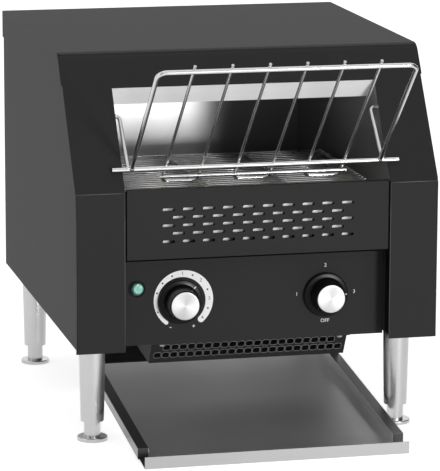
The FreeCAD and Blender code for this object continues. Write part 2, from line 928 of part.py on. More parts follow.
def tray_carrier():
    """Right-hand carrier: hangs from the base and holds the tray's rear end by its side hem."""
    back = carrier_front + carrier_length
    x_in = tray_rail_half_width + tray_offset + carrier_clearance
    x_out = x_in + carrier_sheet
    ledge_in = x_in - carrier_ledge
    low = -carrier_clearance - carrier_sheet
    web = side_prism([
        (carrier_front, tray_z(carrier_front) + low),
        (back, tray_z(back) + low),
        (back, base_bottom),
        (carrier_front, base_bottom),
    ], x_in, x_out)
    ledge = sloped_band(carrier_front, back, low, -carrier_clearance, ledge_in, x_out)
    flange = block(x_in, x_in + carrier_flange, carrier_front, back,
                   base_bottom - carrier_sheet, base_bottom)
    return fuse([web, ledge, flange])


# Loading rack
def rack_points():
    """The rack's plane: rest point of the rod, direction to the rail, and the inner normal."""
    angle = math.radians(rack_angle)
    along = V(0, -math.cos(angle), math.sin(angle))
    normal = V(0, math.sin(angle), math.cos(angle))
    offset = rack_wire + rack_rest_gap
    rest = V(0, slant_y(rack_rest_height) - math.cos(slant_angle) * offset,
             rack_rest_height + math.sin(slant_angle) * offset)
    return rest, along, normal


def rack_frame():
    """The outer wire: a U whose legs stand on the cross rod."""
    rest, along, _ = rack_points()
    foot = rest + along * (rack_wire + weld_gap)
    head = rest + along * rack_length
    points = [
        (-rack_half_width, foot.y, foot.z),
        (-rack_half_width, head.y, head.z),
        (rack_half_width, head.y, head.z),
        (rack_half_width, foot.y, foot.z),
    ]
    return bent_wire(points, rack_corner, rack_wire)


def rack_cross_rod():
    rest = rack_points()[0]
    return rod(rack_wire, (-rack_rod_half, rest.y, rest.z), (rack_rod_half, rest.y, rest.z))


def rack_guides():
    """Three U-shaped guide wires welded behind the rail and the cross rod."""
    rest, along, normal = rack_points()
    lift = normal * (rack_wire + guide_wire + weld_gap)
    head = rest + along * (rack_length + guide_overhang) + lift
    tail = rest - along * guide_tail + lift
    wires = []
    for i in (-1, 0, 1):
        left = i * 2 * guide_pitch - guide_pitch / 2
        right = left + guide_pitch
        wires.append(bent_wire([
            (left, head.y, head.z),
            (left, tail.y, tail.z),
            (right, tail.y, tail.z),
            (right, head.y, head.z),
        ], guide_corner, guide_wire))
    return Part.makeCompound(wires)


def rack_tie_rod():
    """Thin rod across the front of the guide wires, just below the cross rod."""
    rest, along, normal = rack_points()
    centre = rest - along * tie_offset + normal * (rack_wire - guide_wire)
    return rod(guide_wire, (-tie_half, centre.y, centre.z), (tie_half, centre.y, centre.z))


def rack_arm():
    """Right-hand arm: from the cross rod up to its pin in the chamber wall."""
    rest, _, _ = rack_points()
    hook = V(0, hook_back, hook_height)
    direction = (hook - rest).normalize()
    foot = rest + direction * (rack_wire + weld_gap)
    return bent_wire([
        (arm_position, foot.y, foot.z),
        (arm_position, hook.y, hook.z),
        (arm_pin_end, hook.y, hook.z),
    ], arm_bend, arm_wire)


# Controls
def knob_body(x):
    """Black grip with a wide skirt, hollow at the back over the fixing nut."""
    back = panel_setback - knob_gap
    skirt_front = back - skirt_thickness
    tip = panel_setback - knob_protrusion
    skirt = cone(skirt_radius, skirt_radius - 1.5, (x, back, knob_height),
                 (x, skirt_front, knob_height))
    grip = cone(grip_radius, grip_tip_radius, (x, skirt_front, knob_height), (x, tip, knob_height))
    hollow = rod(knob_hollow_radius, (x, back + 1, knob_height),
                 (x, back - knob_hollow_depth, knob_height))
    recess = rod(cap_radius + fit, (x, tip + cap_thickness / 2, knob_height),
                 (x, tip - 1, knob_height))
    bore = rod(control_shaft_radius, (x, back, knob_height),
               (x, shaft_tip(), knob_height))
    return fuse([skirt, grip]).cut([hollow, recess, bore])


def shaft_tip():
    return panel_setback - knob_protrusion + shaft_tip_depth


def knob_cap(x):
    tip = panel_setback - knob_protrusion + cap_thickness / 2
    cap = rod(cap_radius, (x, tip, knob_height), (x, tip - cap_thickness, knob_height))
    front = [e for e in cap.Edges if abs(e.Vertexes[0].Y - tip + cap_thickness) < 0.01]
    return cap.makeChamfer(cap_thickness / 3, front[:1])


def control_shaft(x):
    return rod(control_shaft_radius, (x, shaft_tip(), knob_height),
               (x, panel_setback + sheet + shaft_seat, knob_height))


def shaft_nuts():
    nuts = []
    for x in (-knob_position, knob_position):
        y0 = panel_setback
        corners = []
        for i in range(7):
            angle = math.pi / 3 * i
            corners.append(V(x + nut_radius * math.cos(angle), y0,
                             knob_height + nut_radius * math.sin(angle)))
        nut = Part.Face(Part.makePolygon(corners)).extrude(V(0, -nut_thickness, 0))
        bore = rod(control_shaft_radius + fit, (x, y0 + 1, knob_height),
                   (x, y0 - nut_thickness - 1, knob_height))
        nuts.append(nut.cut(bore))
    return Part.makeCompound(nuts)


def speed_potentiometer():
    y0 = panel_setback + sheet
    x = -knob_position
    can = rod(pot_radius, (x, y0, knob_height), (x, y0 + pot_depth, knob_height))
    bore = rod(control_shaft_radius + fit, (x, y0 - 1, knob_height),
               (x, y0 + shaft_seat + shaft_seat_clearance, knob_height))
    return can.cut(bore)


def selector_switch():
    y0 = panel_setback + sheet
    x = knob_position
    half = switch_side / 2
    body = block(x - half, x + half, y0, y0 + switch_depth, knob_height - half,
                 knob_height + half)
    bore = rod(control_shaft_radius + fit, (x, y0 - 1, knob_height),
               (x, y0 + shaft_seat + shaft_seat_clearance, knob_height))
    return body.cut(bore)


def lamp_lens():
    """Green lens with a shallow domed front."""
    y0 = panel_setback - lamp_seat
    disc = rod(lamp_radius, (-lamp_position, y0, lamp_height),
               (-lamp_position, y0 - lamp_dome, lamp_height))
    rim = [e for e in disc.Edges if abs(e.Vertexes[0].Y - y0 + lamp_dome) < 0.01]
    return disc.makeFillet(lamp_dome * 0.6, rim[:1])


def lamp_housing():
    """Bezel in front of the panel and the lamp's body behind it."""
    y0 = panel_setback
    ring = rod(lamp_bezel_radius, (-lamp_position, y0, lamp_height),
               (-lamp_position, y0 - lamp_rim, lamp_height))
    body = rod(lamp_body_radius, (-lamp_position, y0, lamp_height),
               (-lamp_position, y0 + lamp_body_length, lamp_height))
    seat = rod(lamp_radius + fit, (-lamp_position, y0 - lamp_seat, lamp_height),
               (-lamp_position, y0 - lamp_dome, lamp_height))
    return fuse([ring, body]).cut(seat)


# Legs and feet
def leg_places():
    return [(sx * leg_position, y) for y in (leg_front, leg_back) for sx in (-1, 1)]


def leg(x, y):
    outer = cone(leg_tip_radius, leg_top_radius, (x, y, leg_bottom), (x, y, leg_top))
    bore = rod(foot_stem_radius + fit, (x, y, leg_bottom - 1),
               (x, y, foot_stem_top + foot_travel_in + foot_stem_clearance))
    hole = rod(bolt_radius + fit, (x, y, leg_top - bolt_depth), (x, y, leg_top + 1))
    return outer.cut([bore, hole])


def foot(x, y):
    disc = rod(foot_disc_radius, (x, y, 0), (x, y, foot_disc))
    upper = [e for e in disc.Edges if abs(e.Vertexes[0].Z - foot_disc) < 0.01]
    disc = disc.makeFillet(1.2, upper[:1])
    stem = rod(foot_stem_radius, (x, y, foot_disc / 2), (x, y, foot_stem_top))
    return disc.fuse(stem).removeSplitter()


def leg_bolts():
    """Hexagon bolts through the base plate into the legs."""
    bolts = []
    for x, y in leg_places():
        corners = []
        for i in range(7):
            angle = math.pi / 3 * i
            corners.append(V(x + bolt_head_radius * math.cos(angle),
                             y + bolt_head_radius * math.sin(angle), side_bottom))
        head = Part.Face(Part.makePolygon(corners)).extrude(V(0, 0, bolt_head))
        shank = rod(bolt_radius, (x, y, leg_top - bolt_depth + 1), (x, y, side_bottom))
        bolts.append(head.fuse(shank))
    return Part.makeCompound(bolts)


# Rear
def fan_screw_points():
    reach = fan_side / 2 - fan_screw_inset
    return [(fan_position + sx * reach, body_depth, fan_height + sz * reach)
            for sx in (-1, 1) for sz in (-1, 1)]


def fan_frame():
    """Square fan housing on the inside of the rear panel, with a motor spider."""
    half = fan_side / 2
    y1 = rear_inside
    y0 = y1 - fan_depth
    frame = block(fan_position - half, fan_position + half, y0, y1,
                  fan_height - half, fan_height + half)
    duct = rod(fan_radius + fan_tip_clearance, (fan_position, y0 - 1, fan_height),
               (fan_position, y1 + 1, fan_height))
    frame = frame.cut([duct] + [screw_hole(p, (0, -1, 0), fan_depth) for p in fan_screw_points()])
    arm_half = fan_arm_width / 2
    reach = fan_radius + fan_tip_clearance + 1
    x, z = fan_position, fan_height
    arms = [
        block(x - reach, x + reach, y0, y0 + fan_arm, z - arm_half, z + arm_half),
        block(x - arm_half, x + arm_half, y0, y0 + fan_arm, z - reach, z + reach),
        rod(fan_hub_radius, (x, y0, z), (x, y0 + fan_arm, z)),
        rod(fan_pin_radius, (x, y0, z), (x, y0 + fan_pin_length, z)),
    ]
    return fuse([frame] + arms)


def fan_rotor():
    y0 = rear_inside - fan_depth + fan_arm + fan_gap
    x, z = fan_position, fan_height
    hub = rod(fan_hub_radius, (x, y0, z), (x, y0 + fan_rotor_length, z))
    hub = hub.cut(rod(fan_pin_radius + fit, (x, y0 - 1, z), (x, y0 + fan_bore_depth, z)))
    blades = []
    for i in range(fan_blades):
        blade = block(-fan_blade_thickness / 2, fan_blade_thickness / 2,
                      -fan_blade_chord / 2, fan_blade_chord / 2, fan_hub_radius - 1, fan_radius)
        blade.rotate(V(0, 0, 0), V(0, 0, 1), fan_blade_pitch)
        blade.rotate(V(0, 0, 0), V(0, 1, 0), 360.0 / fan_blades * i)
        blade.translate(V(x, y0 + fan_rotor_length / 2, z))
        blades.append(blade)
    return fuse([hub] + blades)


def cord_gland():
    """Strain-relief gland in the rear panel, with a flange outside and a nut inside."""
    x, z = gland_position, gland_height
    sleeve = rod(gland_radius, (x, rear_inside - gland_length, z), (x, body_depth + gland_nose, z))
    flange = rod(gland_nut_radius, (x, body_depth, z), (x, body_depth + gland_flange, z))
    nut = rod(gland_nut_radius, (x, rear_inside - gland_flange, z), (x, rear_inside, z))
    bore = rod(gland_bore, (x, rear_inside - gland_length - 1, z), (x, body_depth + gland_nose + 1, z))
    return fuse([sleeve, flange, nut]).cut(bore)


def panel_screws():
    """All pan-head screws: rear panel, fan and exit guard."""
    rear = [screw_at(p, (0, -1, 0)) for p in rear_screw_points() + fan_screw_points()]
    guard = [screw_at(p, (0, 0, 1)) for p in guard_screw_points()]
    return Part.makeCompound(rear + guard)


# Export
def build():
    wall = inner_wall()
    side = side_panel()
    carrier = tray_carrier()
    left_carrier = mirror(carrier)
    left_carrier.translate(V(2 * tray_offset, 0, 0))
    arm = rack_arm()
    nodes = {
        "left_side_panel": mirror(side),
        "right_side_panel": side,
        "top_cover": top_cover(),
        "rear_panel": rear_panel(),
        "base_plate": base_plate(),
        "vent_panel": vent_panel(),
        "vent_liner": vent_liner(),
        "control_panel": control_panel(),
        "left_chamber_wall": mirror(wall),
        "right_chamber_wall": wall,
        "deflector_strip": deflector_strip(),
        "back_wall": back_wall(),
        "chamber_roof": chamber_roof(),
        "controls_shield": controls_shield(),
        "conveyor_belt": conveyor_belt(),
        "front_shaft": conveyor_shaft(front_shaft, bush_end()),
        "front_belt_wheels": belt_wheels(front_shaft),
        "rear_shaft": conveyor_shaft(rear_shaft, chain_plane + chain_width + shaft_overhang),
        "rear_belt_wheels": belt_wheels(rear_shaft),
        "shaft_bushes": bushes(),
        "drive_motor": motor(),
        "motor_gearbox": gearbox(),
        "motor_shaft": motor_shaft(),
        "drive_sprocket": drive_sprocket(),
        "driven_sprocket": driven_sprocket(),
        "drive_chain": drive_chain(),
        "heating_elements": heating_elements(),
        "heater_insulators": heater_insulators(),
        "exit_ramp": exit_ramp(),
        "exit_guard": exit_guard(),
        "toast_tray": toast_tray(),
        "left_tray_carrier": left_carrier,
        "right_tray_carrier": carrier,
        "rack_frame": rack_frame(),
        "rack_cross_rod": rack_cross_rod(),
        "rack_guide_wires": rack_guides(),
        "rack_tie_rod": rack_tie_rod(),
        "left_rack_arm": mirror(arm),
        "right_rack_arm": arm,
        "speed_knob": knob_body(-knob_position),
        "speed_knob_cap": knob_cap(-knob_position),
        "speed_shaft": control_shaft(-knob_position),
        "selector_knob": knob_body(knob_position),
        "selector_knob_cap": knob_cap(knob_position),
        "selector_shaft": control_shaft(knob_position),
        "shaft_nuts": shaft_nuts(),
        "speed_potentiometer": speed_potentiometer(),
        "selector_switch": selector_switch(),
        "lamp_lens": lamp_lens(),
        "lamp_housing": lamp_housing(),
        "legs": Part.makeCompound([leg(x, y) for x, y in leg_places()]),
        "leg_bolts": leg_bolts(),
        "fan_frame": fan_frame(),
        "fan_rotor": fan_rotor(),
        "cord_gland": cord_gland(),
        "panel_screws": panel_screws(),
    }
    for (x, y), name in zip(leg_places(), ("front_left", "front_right", "rear_left", "rear_right")):
        nodes[name + "_foot"] = foot(x, y)
    return nodes


def main():
    os.makedirs(parts_dir, exist_ok=True)
    nodes = build()
    low = min(shape.BoundBox.YMin for shape in nodes.values())
    high = max(shape.BoundBox.YMax for shape in nodes.values())
    shift = V(0, -(low + high) / 2, 0)
    print("nodes", len(nodes), "front", round(low, 3), "back", round(high, 3))
    for name, shape in nodes.items():
        shape.translate(shift)
        if not shape.isValid() or not shape.Solids:
            print("check", name)
        shape.exportStep(os.path.join(parts_dir, name + ".step"))


main()
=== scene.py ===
import json
import math

import bmesh
import bpy
import numpy as np
from mathutils import Matrix, Vector


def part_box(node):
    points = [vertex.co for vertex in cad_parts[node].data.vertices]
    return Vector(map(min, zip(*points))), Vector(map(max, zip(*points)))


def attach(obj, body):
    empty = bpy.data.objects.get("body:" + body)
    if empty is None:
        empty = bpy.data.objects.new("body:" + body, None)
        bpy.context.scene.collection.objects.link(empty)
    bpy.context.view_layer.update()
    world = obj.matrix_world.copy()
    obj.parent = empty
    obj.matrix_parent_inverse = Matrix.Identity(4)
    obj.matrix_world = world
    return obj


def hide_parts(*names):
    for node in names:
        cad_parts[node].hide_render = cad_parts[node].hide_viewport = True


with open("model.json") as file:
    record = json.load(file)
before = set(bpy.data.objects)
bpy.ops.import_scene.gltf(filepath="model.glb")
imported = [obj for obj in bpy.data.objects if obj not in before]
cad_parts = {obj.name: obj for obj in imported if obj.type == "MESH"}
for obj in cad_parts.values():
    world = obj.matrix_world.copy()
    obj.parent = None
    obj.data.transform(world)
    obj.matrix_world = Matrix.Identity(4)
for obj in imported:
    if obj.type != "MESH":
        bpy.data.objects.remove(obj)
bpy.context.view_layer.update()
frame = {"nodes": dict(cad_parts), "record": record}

frameShift = -0.1541985  # casing front to the row's origin along Y
print("stage: frame loaded with", len(frame["nodes"]), "nodes")


def rowPoint(x, y, z):  # millimetres from the casing's front to metres in the row's frame
    return np.stack(np.broadcast_arrays(x, y, z), -1) / 1000.0 + np.array([0.0, frameShift, 0.0])


# mesh helpers
def putMesh(name, points, faces, smooth=True):
    # a mesh of points in metres and faces of their numbers, on an object that sits at the origin
    mesh = bpy.data.meshes.new(name)
    mesh.from_pydata(np.asarray(points).tolist(), [], faces)
    mesh.update()
    mesh.shade_smooth() if smooth else mesh.shade_flat()
    piece = bpy.data.objects.new(name, mesh)
    bpy.context.collection.objects.link(piece)
    return piece


def gridFaces(rows, columns, closeRows=False, closeColumns=False):
    # quads between neighbours of a rows by columns grid, wrapped where asked
    r = np.arange(rows if closeRows else rows - 1)
    c = np.arange(columns if closeColumns else columns - 1)
    rr, cc = np.meshgrid(r, c, indexing="ij")
    r2, c2 = (rr + 1) % rows, (cc + 1) % columns
    quads = np.stack([rr * columns + cc, rr * columns + c2, r2 * columns + c2, r2 * columns + cc], -1)
    return quads.reshape(-1, 4).tolist()


def repeated(faces, size, count):
    # the same faces for each of count shapes, every one of size points
    return (np.arange(count)[:, None, None] * size + np.array(faces)).reshape(-1, len(faces[0])).tolist()


def endFans(first, last, base, sides):
    # triangles that close the ring at number zero round the point first, and the ring at base round last
    i = np.arange(sides)
    j = (i + 1) % sides
    low = np.stack([np.full(sides, first), j, i], -1)
    high = np.stack([np.full(sides, last), base + i, base + j], -1)
    return low.tolist() + high.tolist()


def turned(profile, centre, axis, sides=64, flutes=0, fluteDepth=0.0):
    # each profile row is (radius, height along the axis) and turns once round the axis; with flutes, a third
    # value is the share by which the radius dips at their even count
    profile = np.asarray(profile, float)
    side = np.cross(axis, [0.0, 0.0, 1.0] if abs(axis[2]) < 0.9 else [1.0, 0.0, 0.0])
    side /= np.linalg.norm(side)
    other = np.cross(axis, side)
    angle = 2 * math.pi * np.arange(sides) / sides
    radius = np.repeat(profile[:, :1], sides, 1)
    if flutes:
        radius = radius - fluteDepth * profile[:, 2:3] * (0.5 - 0.5 * np.cos(flutes * angle))
    ring = np.cos(angle)[:, None] * side + np.sin(angle)[:, None] * other
    points = (centre + radius[..., None] * ring + profile[:, 1][:, None, None] * axis).reshape(-1, 3)
    ends = centre + profile[[0, -1], 1][:, None] * axis
    rows, count = len(profile), len(points)
    faces = gridFaces(rows, sides, closeColumns=True) + endFans(count, count + 1, (rows - 1) * sides, sides)
    return np.concatenate([points, ends]), faces


def joined(shapes):
    # several shapes as one: each one's faces count on from the points before it
    points, faces, start = [], [], 0
    for p, f in shapes:
        points.append(p)
        faces += [[i + start for i in face] for face in f]
        start += len(p)
    return np.concatenate(points), faces


def pointOutwards(piece):
    # merges doubled points, then turns every face outwards
    bm = bmesh.new()
    bm.from_mesh(piece.data)
    bmesh.ops.remove_doubles(bm, verts=bm.verts, dist=1e-7)
    bmesh.ops.recalc_face_normals(bm, faces=bm.faces)
    bm.to_mesh(piece.data)
    bm.free()
    return piece


def addPiece(name, shapes, material, smooth=True):
    # one piece of one or more closed shapes, with its finish
    points, faces = joined(shapes)
    piece = pointOutwards(putMesh(name, points, faces, smooth))
    piece.data.materials.append(material)
    return piece


def flatPlate(outline, toPoint, thickness):
    # an outline in two parameters, carried to its plane by toPoint(u, v, lift), with a thin edge
    u, v = np.asarray(outline, float).T
    n = len(u)
    faces = [list(range(n)), list(range(2 * n - 1, n - 1, -1))]
    faces += [[i, i + n, (i + 1) % n + n, (i + 1) % n] for i in range(n)]
    return np.concatenate([toPoint(u, v, thickness), toPoint(u, v, 0.0)]), faces


def circle(x, z, radius, count):
    # even steps of an angle: the middle plus the radius times the angle's cosine and sine
    t = np.linspace(0, 2 * math.pi, count, False)
    return np.stack([x + radius * np.cos(t), z + radius * np.sin(t)], -1)


def slab(low, high):
    # a box from its two far corners: eight points in the order of their binary numbers
    bits = (np.arange(8)[:, None] >> np.array([2, 1, 0])) & 1
    points = np.where(bits == 0, np.array(low, float), np.array(high, float))
    faces = [[0, 1, 3, 2], [4, 6, 7, 5], [0, 4, 5, 1], [2, 3, 7, 6], [0, 2, 6, 4], [1, 5, 7, 3]]
    return rowPoint(*points.T), faces


# shader helpers: a value is a number, a colour or another node's output
def feed(tree, socket, value):  # links an output, or writes a constant on the socket
    if isinstance(value, bpy.types.NodeSocket):
        tree.links.new(value, socket)
    else:
        socket.default_value = value


def reckon(tree, operation, *values):
    node = tree.nodes.new("ShaderNodeMath")
    node.operation = operation
    for socket, value in zip(node.inputs, values):
        feed(tree, socket, value)
    return node.outputs[0]


def reckonVector(tree, operation, *values):
    node = tree.nodes.new("ShaderNodeVectorMath")
    node.operation = operation
    for socket, value in zip(node.inputs, values):
        feed(tree, socket, value)
    return node.outputs["Value" if operation == "LENGTH" else "Vector"]


def blend(tree, share, first, second):  # the first tone where the share is zero, the second where it is one
    node = tree.nodes.new("ShaderNodeMix")
    node.data_type = "RGBA"
    feed(tree, node.inputs["Factor"], share)
    feed(tree, node.inputs[6], first)
    feed(tree, node.inputs[7], second)
    return node.outputs[2]


def softStep(tree, value, low, high):  # zero below low, one above high and a smooth rise between
    node = tree.nodes.new("ShaderNodeMapRange")
    node.interpolation_type = "SMOOTHSTEP"
    for label, given in (("Value", value), ("From Min", low), ("From Max", high)):
        feed(tree, node.inputs[label], given)
    return node.outputs["Result"]


def noise(tree, place, scale, detail):
    node = tree.nodes.new("ShaderNodeTexNoise")
    for label, given in (("Vector", place), ("Scale", scale), ("Detail", detail)):
        feed(tree, node.inputs[label], given)
    return node.outputs["Fac"]


def objectPlace(tree):
    return tree.nodes["Texture Coordinate"].outputs["Object"]


def objectAxes(tree):
    node = tree.nodes.new("ShaderNodeSeparateXYZ")
    feed(tree, node.inputs[0], objectPlace(tree))
    return node.outputs


def fromAxis(tree, centre):
    # the way from an axis along Y to each point, laid flat on the panel's plane
    away = reckonVector(tree, "SUBTRACT", objectPlace(tree), tuple(centre))
    return reckonVector(tree, "MULTIPLY", away, (1.0, 0.0, 1.0))


# shader groups
def newGroup(name, inputs):
    group = bpy.data.node_groups.new(name, "ShaderNodeTree")
    for label, kind, value in [("Position", "Vector", None)] + inputs:
        socket = group.interface.new_socket(name=label, in_out="INPUT", socket_type="NodeSocket" + kind)
        if value is not None:
            socket.default_value = value
    for label, kind in (("Color", "Color"), ("Roughness", "Float"), ("Height", "Float")):
        group.interface.new_socket(name=label, in_out="OUTPUT", socket_type="NodeSocket" + kind)
    return group, group.nodes.new("NodeGroupInput").outputs, group.nodes.new("NodeGroupOutput").inputs


def powderGrain():
    # fine powder coat: small rounded grains, a broad sag of the coat and a slight tone drift
    group, given, result = newGroup("powderGrain", [
        ("Grain Size", "Float", 1400.0), ("Tone", "Color", (0.035, 0.035, 0.036, 1.0)),
        ("Light Tone", "Color", (0.05, 0.05, 0.051, 1.0)), ("Roughness", "Float", 0.5)])
    grain = noise(group, given["Position"], given["Grain Size"], 2.0)
    drift = noise(group, given["Position"], 7.0, 3.0)
    feed(group, result["Color"], blend(group, drift, given["Tone"], given["Light Tone"]))
    feed(group, result["Roughness"], reckon(group, "MULTIPLY_ADD", grain, 0.12, given["Roughness"]))
    feed(group, result["Height"], grain)
    return group


def brushedGrain():
    # long parallel scratches: noise stretched along one direction, plus broad cloudy patches
    group, given, result = newGroup("brushedGrain", [
        ("Stretch", "Vector", (8.0, 900.0, 900.0)), ("Tone", "Color", (0.62, 0.62, 0.61, 1.0)),
        ("Dark Tone", "Color", (0.42, 0.42, 0.41, 1.0)), ("Roughness", "Float", 0.24)])
    stretched = reckonVector(group, "MULTIPLY", given["Position"], given["Stretch"])
    scratch = noise(group, stretched, 1.0, 3.0)
    cloud = noise(group, given["Position"], 16.0, 2.0)
    share = reckon(group, "MULTIPLY_ADD", cloud, 0.55, reckon(group, "MULTIPLY", scratch, 0.45))
    feed(group, result["Color"], blend(group, share, given["Dark Tone"], given["Tone"]))
    feed(group, result["Roughness"], reckon(group, "MULTIPLY_ADD", scratch, 0.14, given["Roughness"]))
    feed(group, result["Height"], scratch)
    return group


def fineMarks():
    # soft smudges and speckle for chrome, plastic and other smooth finishes
    group, given, result = newGroup("fineMarks", [
        ("Speckle Size", "Float", 600.0), ("Tone", "Color", (0.6, 0.6, 0.6, 1.0)),
        ("Mark Tone", "Color", (0.5, 0.5, 0.5, 1.0)), ("Roughness", "Float", 0.1),
        ("Roughness Spread", "Float", 0.08)])
    smudge = noise(group, given["Position"], 45.0, 4.0)
    speckle = noise(group, given["Position"], given["Speckle Size"], 2.0)
    feed(group, result["Color"], blend(group, smudge, given["Tone"], given["Mark Tone"]))
    feed(group, result["Roughness"],
         reckon(group, "MULTIPLY_ADD", smudge, given["Roughness Spread"], given["Roughness"]))
    feed(group, result["Height"], speckle)
    return group


groups = {"powder": powderGrain(), "brushed": brushedGrain(), "fine": fineMarks()}


# finishes
def finish(name, kind, values, metallic, bumpHeight, extras=None):
    # one material: a shared grain group feeds colour, roughness and bump of its own shader
    material = bpy.data.materials.new(name)
    material.use_nodes = True
    tree = material.node_tree
    tree.nodes.clear()
    out = tree.nodes.new("ShaderNodeOutputMaterial")
    shader = tree.nodes.new("ShaderNodeBsdfPrincipled")
    feed(tree, out.inputs["Surface"], shader.outputs[0])
    place = tree.nodes.new("ShaderNodeTexCoord")
    grain = tree.nodes.new("ShaderNodeGroup")
    grain.node_tree = groups[kind]
    feed(tree, grain.inputs["Position"], place.outputs["Object"])
    for label, value in values.items():
        grain.inputs[label].default_value = value
    feed(tree, shader.inputs["Base Color"], grain.outputs["Color"])
    feed(tree, shader.inputs["Roughness"], grain.outputs["Roughness"])
    bump = tree.nodes.new("ShaderNodeBump")
    bump.inputs["Strength"].default_value = 1.0
    bump.inputs["Distance"].default_value = bumpHeight
    feed(tree, bump.inputs["Height"], grain.outputs["Height"])
    feed(tree, shader.inputs["Normal"], bump.outputs[0])
    shader.inputs["Metallic"].default_value = metallic
    for label, value in (extras or {}).items():
        shader.inputs[label].default_value = value
    return material


def overlay(material, share, tone):
    # lays a second tone over a finish's colour where the share is one
    tree = material.node_tree
    base = tree.nodes["Principled BSDF"].inputs["Base Color"]
    feed(tree, base, blend(tree, share, base.links[0].from_socket, tone))
    return material


def grey(level):  # an even opaque tone
    return (level, level, level, 1.0)


powderCoat = finish("powderCoat", "powder", {
    "Grain Size": 1500.0, "Tone": grey(0.012), "Light Tone": grey(0.015), "Roughness": 0.62},
    0.0, 0.00002, {"Specular Tint": grey(0.42)})
brushedSheet = finish("brushedSheet", "brushed", {
    "Stretch": (30.0, 700.0, 900.0), "Tone": grey(0.74), "Dark Tone": grey(0.62), "Roughness": 0.32},
    1.0, 0.000003)
# painted reflection: a near-white non-metal finish stands for the deflector strip's bright metal reflection
brightStrip = finish("brightStrip", "brushed", {
    "Stretch": (30.0, 900.0, 900.0), "Tone": grey(0.98), "Dark Tone": grey(0.93), "Roughness": 0.4},
    0.0, 0.000003)
brushedWall = finish("brushedWall", "brushed", {
    "Stretch": (700.0, 30.0, 900.0), "Tone": grey(0.74), "Dark Tone": grey(0.62), "Roughness": 0.34},
    1.0, 0.000003)
zincPlate = finish("zincPlate", "fine", {
    "Tone": (0.46, 0.46, 0.47, 1), "Mark Tone": (0.34, 0.34, 0.36, 1), "Roughness": 0.3}, 1.0, 0.00001)
chromeWire = finish("chromeWire", "fine", {
    "Tone": grey(0.62), "Mark Tone": grey(0.5), "Roughness": 0.12, "Roughness Spread": 0.1}, 1.0, 0.000004)
chromeLeg = finish("chromeLeg", "fine", {
    "Tone": grey(0.52), "Mark Tone": grey(0.46), "Roughness": 0.2, "Roughness Spread": 0.08}, 1.0, 0.000004)
darkSheet = finish("darkSheet", "brushed", {
    "Stretch": (12.0, 500.0, 500.0), "Tone": grey(0.12), "Dark Tone": grey(0.05), "Roughness": 0.4},
    1.0, 0.000006)
beltWire = finish("beltWire", "fine", {
    "Tone": grey(0.86), "Mark Tone": grey(0.66), "Roughness": 0.2, "Roughness Spread": 0.15}, 1.0, 0.000008)
bronze = finish("bronze", "fine", {
    "Tone": (0.55, 0.36, 0.17, 1), "Mark Tone": (0.4, 0.25, 0.12, 1), "Roughness": 0.35}, 1.0, 0.00001)
quartzTube = finish("quartzTube", "fine", {
    "Tone": (0.86, 0.82, 0.76, 1), "Mark Tone": (0.72, 0.66, 0.58, 1), "Roughness": 0.25}, 0.0, 0.000008)
ceramicWhite = finish("ceramicWhite", "fine", {
    "Tone": (0.82, 0.8, 0.74, 1), "Mark Tone": (0.7, 0.67, 0.6, 1), "Roughness": 0.55}, 0.0, 0.00002)
knobPlastic = finish("knobPlastic", "fine", {
    "Tone": grey(0.004), "Mark Tone": grey(0.006), "Roughness": 0.18, "Roughness Spread": 0.12},
    0.0, 0.000004, {"Specular Tint": grey(0.2)})
bodyPlastic = finish("bodyPlastic", "fine", {
    "Tone": grey(0.012), "Mark Tone": grey(0.018), "Roughness": 0.4}, 0.0, 0.00001)
# painted highlight: a lighter coat for the pillars' edge beads
edgeHighlightCoat = finish("edgeHighlightCoat", "powder", {
    "Grain Size": 1500.0, "Tone": grey(0.04), "Light Tone": grey(0.05), "Roughness": 0.35}, 0.0, 0.00001)
# painted highlight: a lighter coat for the guard's hole rims
rimHighlightCoat = finish("rimHighlightCoat", "powder", {
    "Grain Size": 1500.0, "Tone": grey(0.16), "Light Tone": grey(0.22), "Roughness": 0.35}, 0.0, 0.00001)
weldMetal = finish("weldMetal", "fine", {
    "Tone": grey(0.6), "Mark Tone": grey(0.42), "Roughness": 0.2, "Roughness Spread": 0.15}, 1.0, 0.00003)
# painted shade: near-black for the gaps round the vent panel
gapShadeBlack = finish("gapShadeBlack", "fine", {
    "Tone": grey(0.001), "Mark Tone": grey(0.002), "Roughness": 0.9},
    0.0, 0.00001, {"Specular Tint": grey(0.1)})
whiteInk = finish("whiteInk", "fine", {
    "Tone": grey(0.86), "Mark Tone": grey(0.8), "Roughness": 0.45}, 0.0, 0.000002)
blackInk = finish("blackInk", "fine", {
    "Tone": grey(0.012), "Mark Tone": grey(0.02), "Roughness": 0.45}, 0.0, 0.000002)

# painted shade: below the mouth the walls' front edge is painted near-black for the shade in the gap beside
# the vent panel, and the right wall is a darker, shaded copy of the left
wallSet = {"low": 0.262, "front": 0.016, "left": 0.74, "right": 0.26, "darkShare": 0.84}


def wallFinish(name, tone, s):
    # brushed steel, with painted shade: a near-black edge where both the height and the distance from the
    # front are small
    material = finish(name, "brushed", {
        "Stretch": (700.0, 30.0, 900.0), "Tone": grey(tone), "Dark Tone": grey(tone * s["darkShare"]),
        "Roughness": 0.34}, 1.0, 0.000003)
    tree = material.node_tree
    place = objectAxes(tree)
    below = reckon(tree, "LESS_THAN", place["Z"], s["low"])
    near = reckon(tree, "LESS_THAN", place["Y"], s["front"] + frameShift)
    return overlay(material, reckon(tree, "MULTIPLY", below, near), grey(0.012))


leftWall = wallFinish("leftWall", wallSet["left"], wallSet)
rightWall = wallFinish("rightWall", wallSet["right"], wallSet)

linerSet = {"pitch": 0.0202, "rowPitch": 0.008, "middle": 0.226, "turnFrom": 0.36, "turnTo": 0.62,
            "dark": 0.1, "lowRow": 0.214, "lowDark": 0.008}


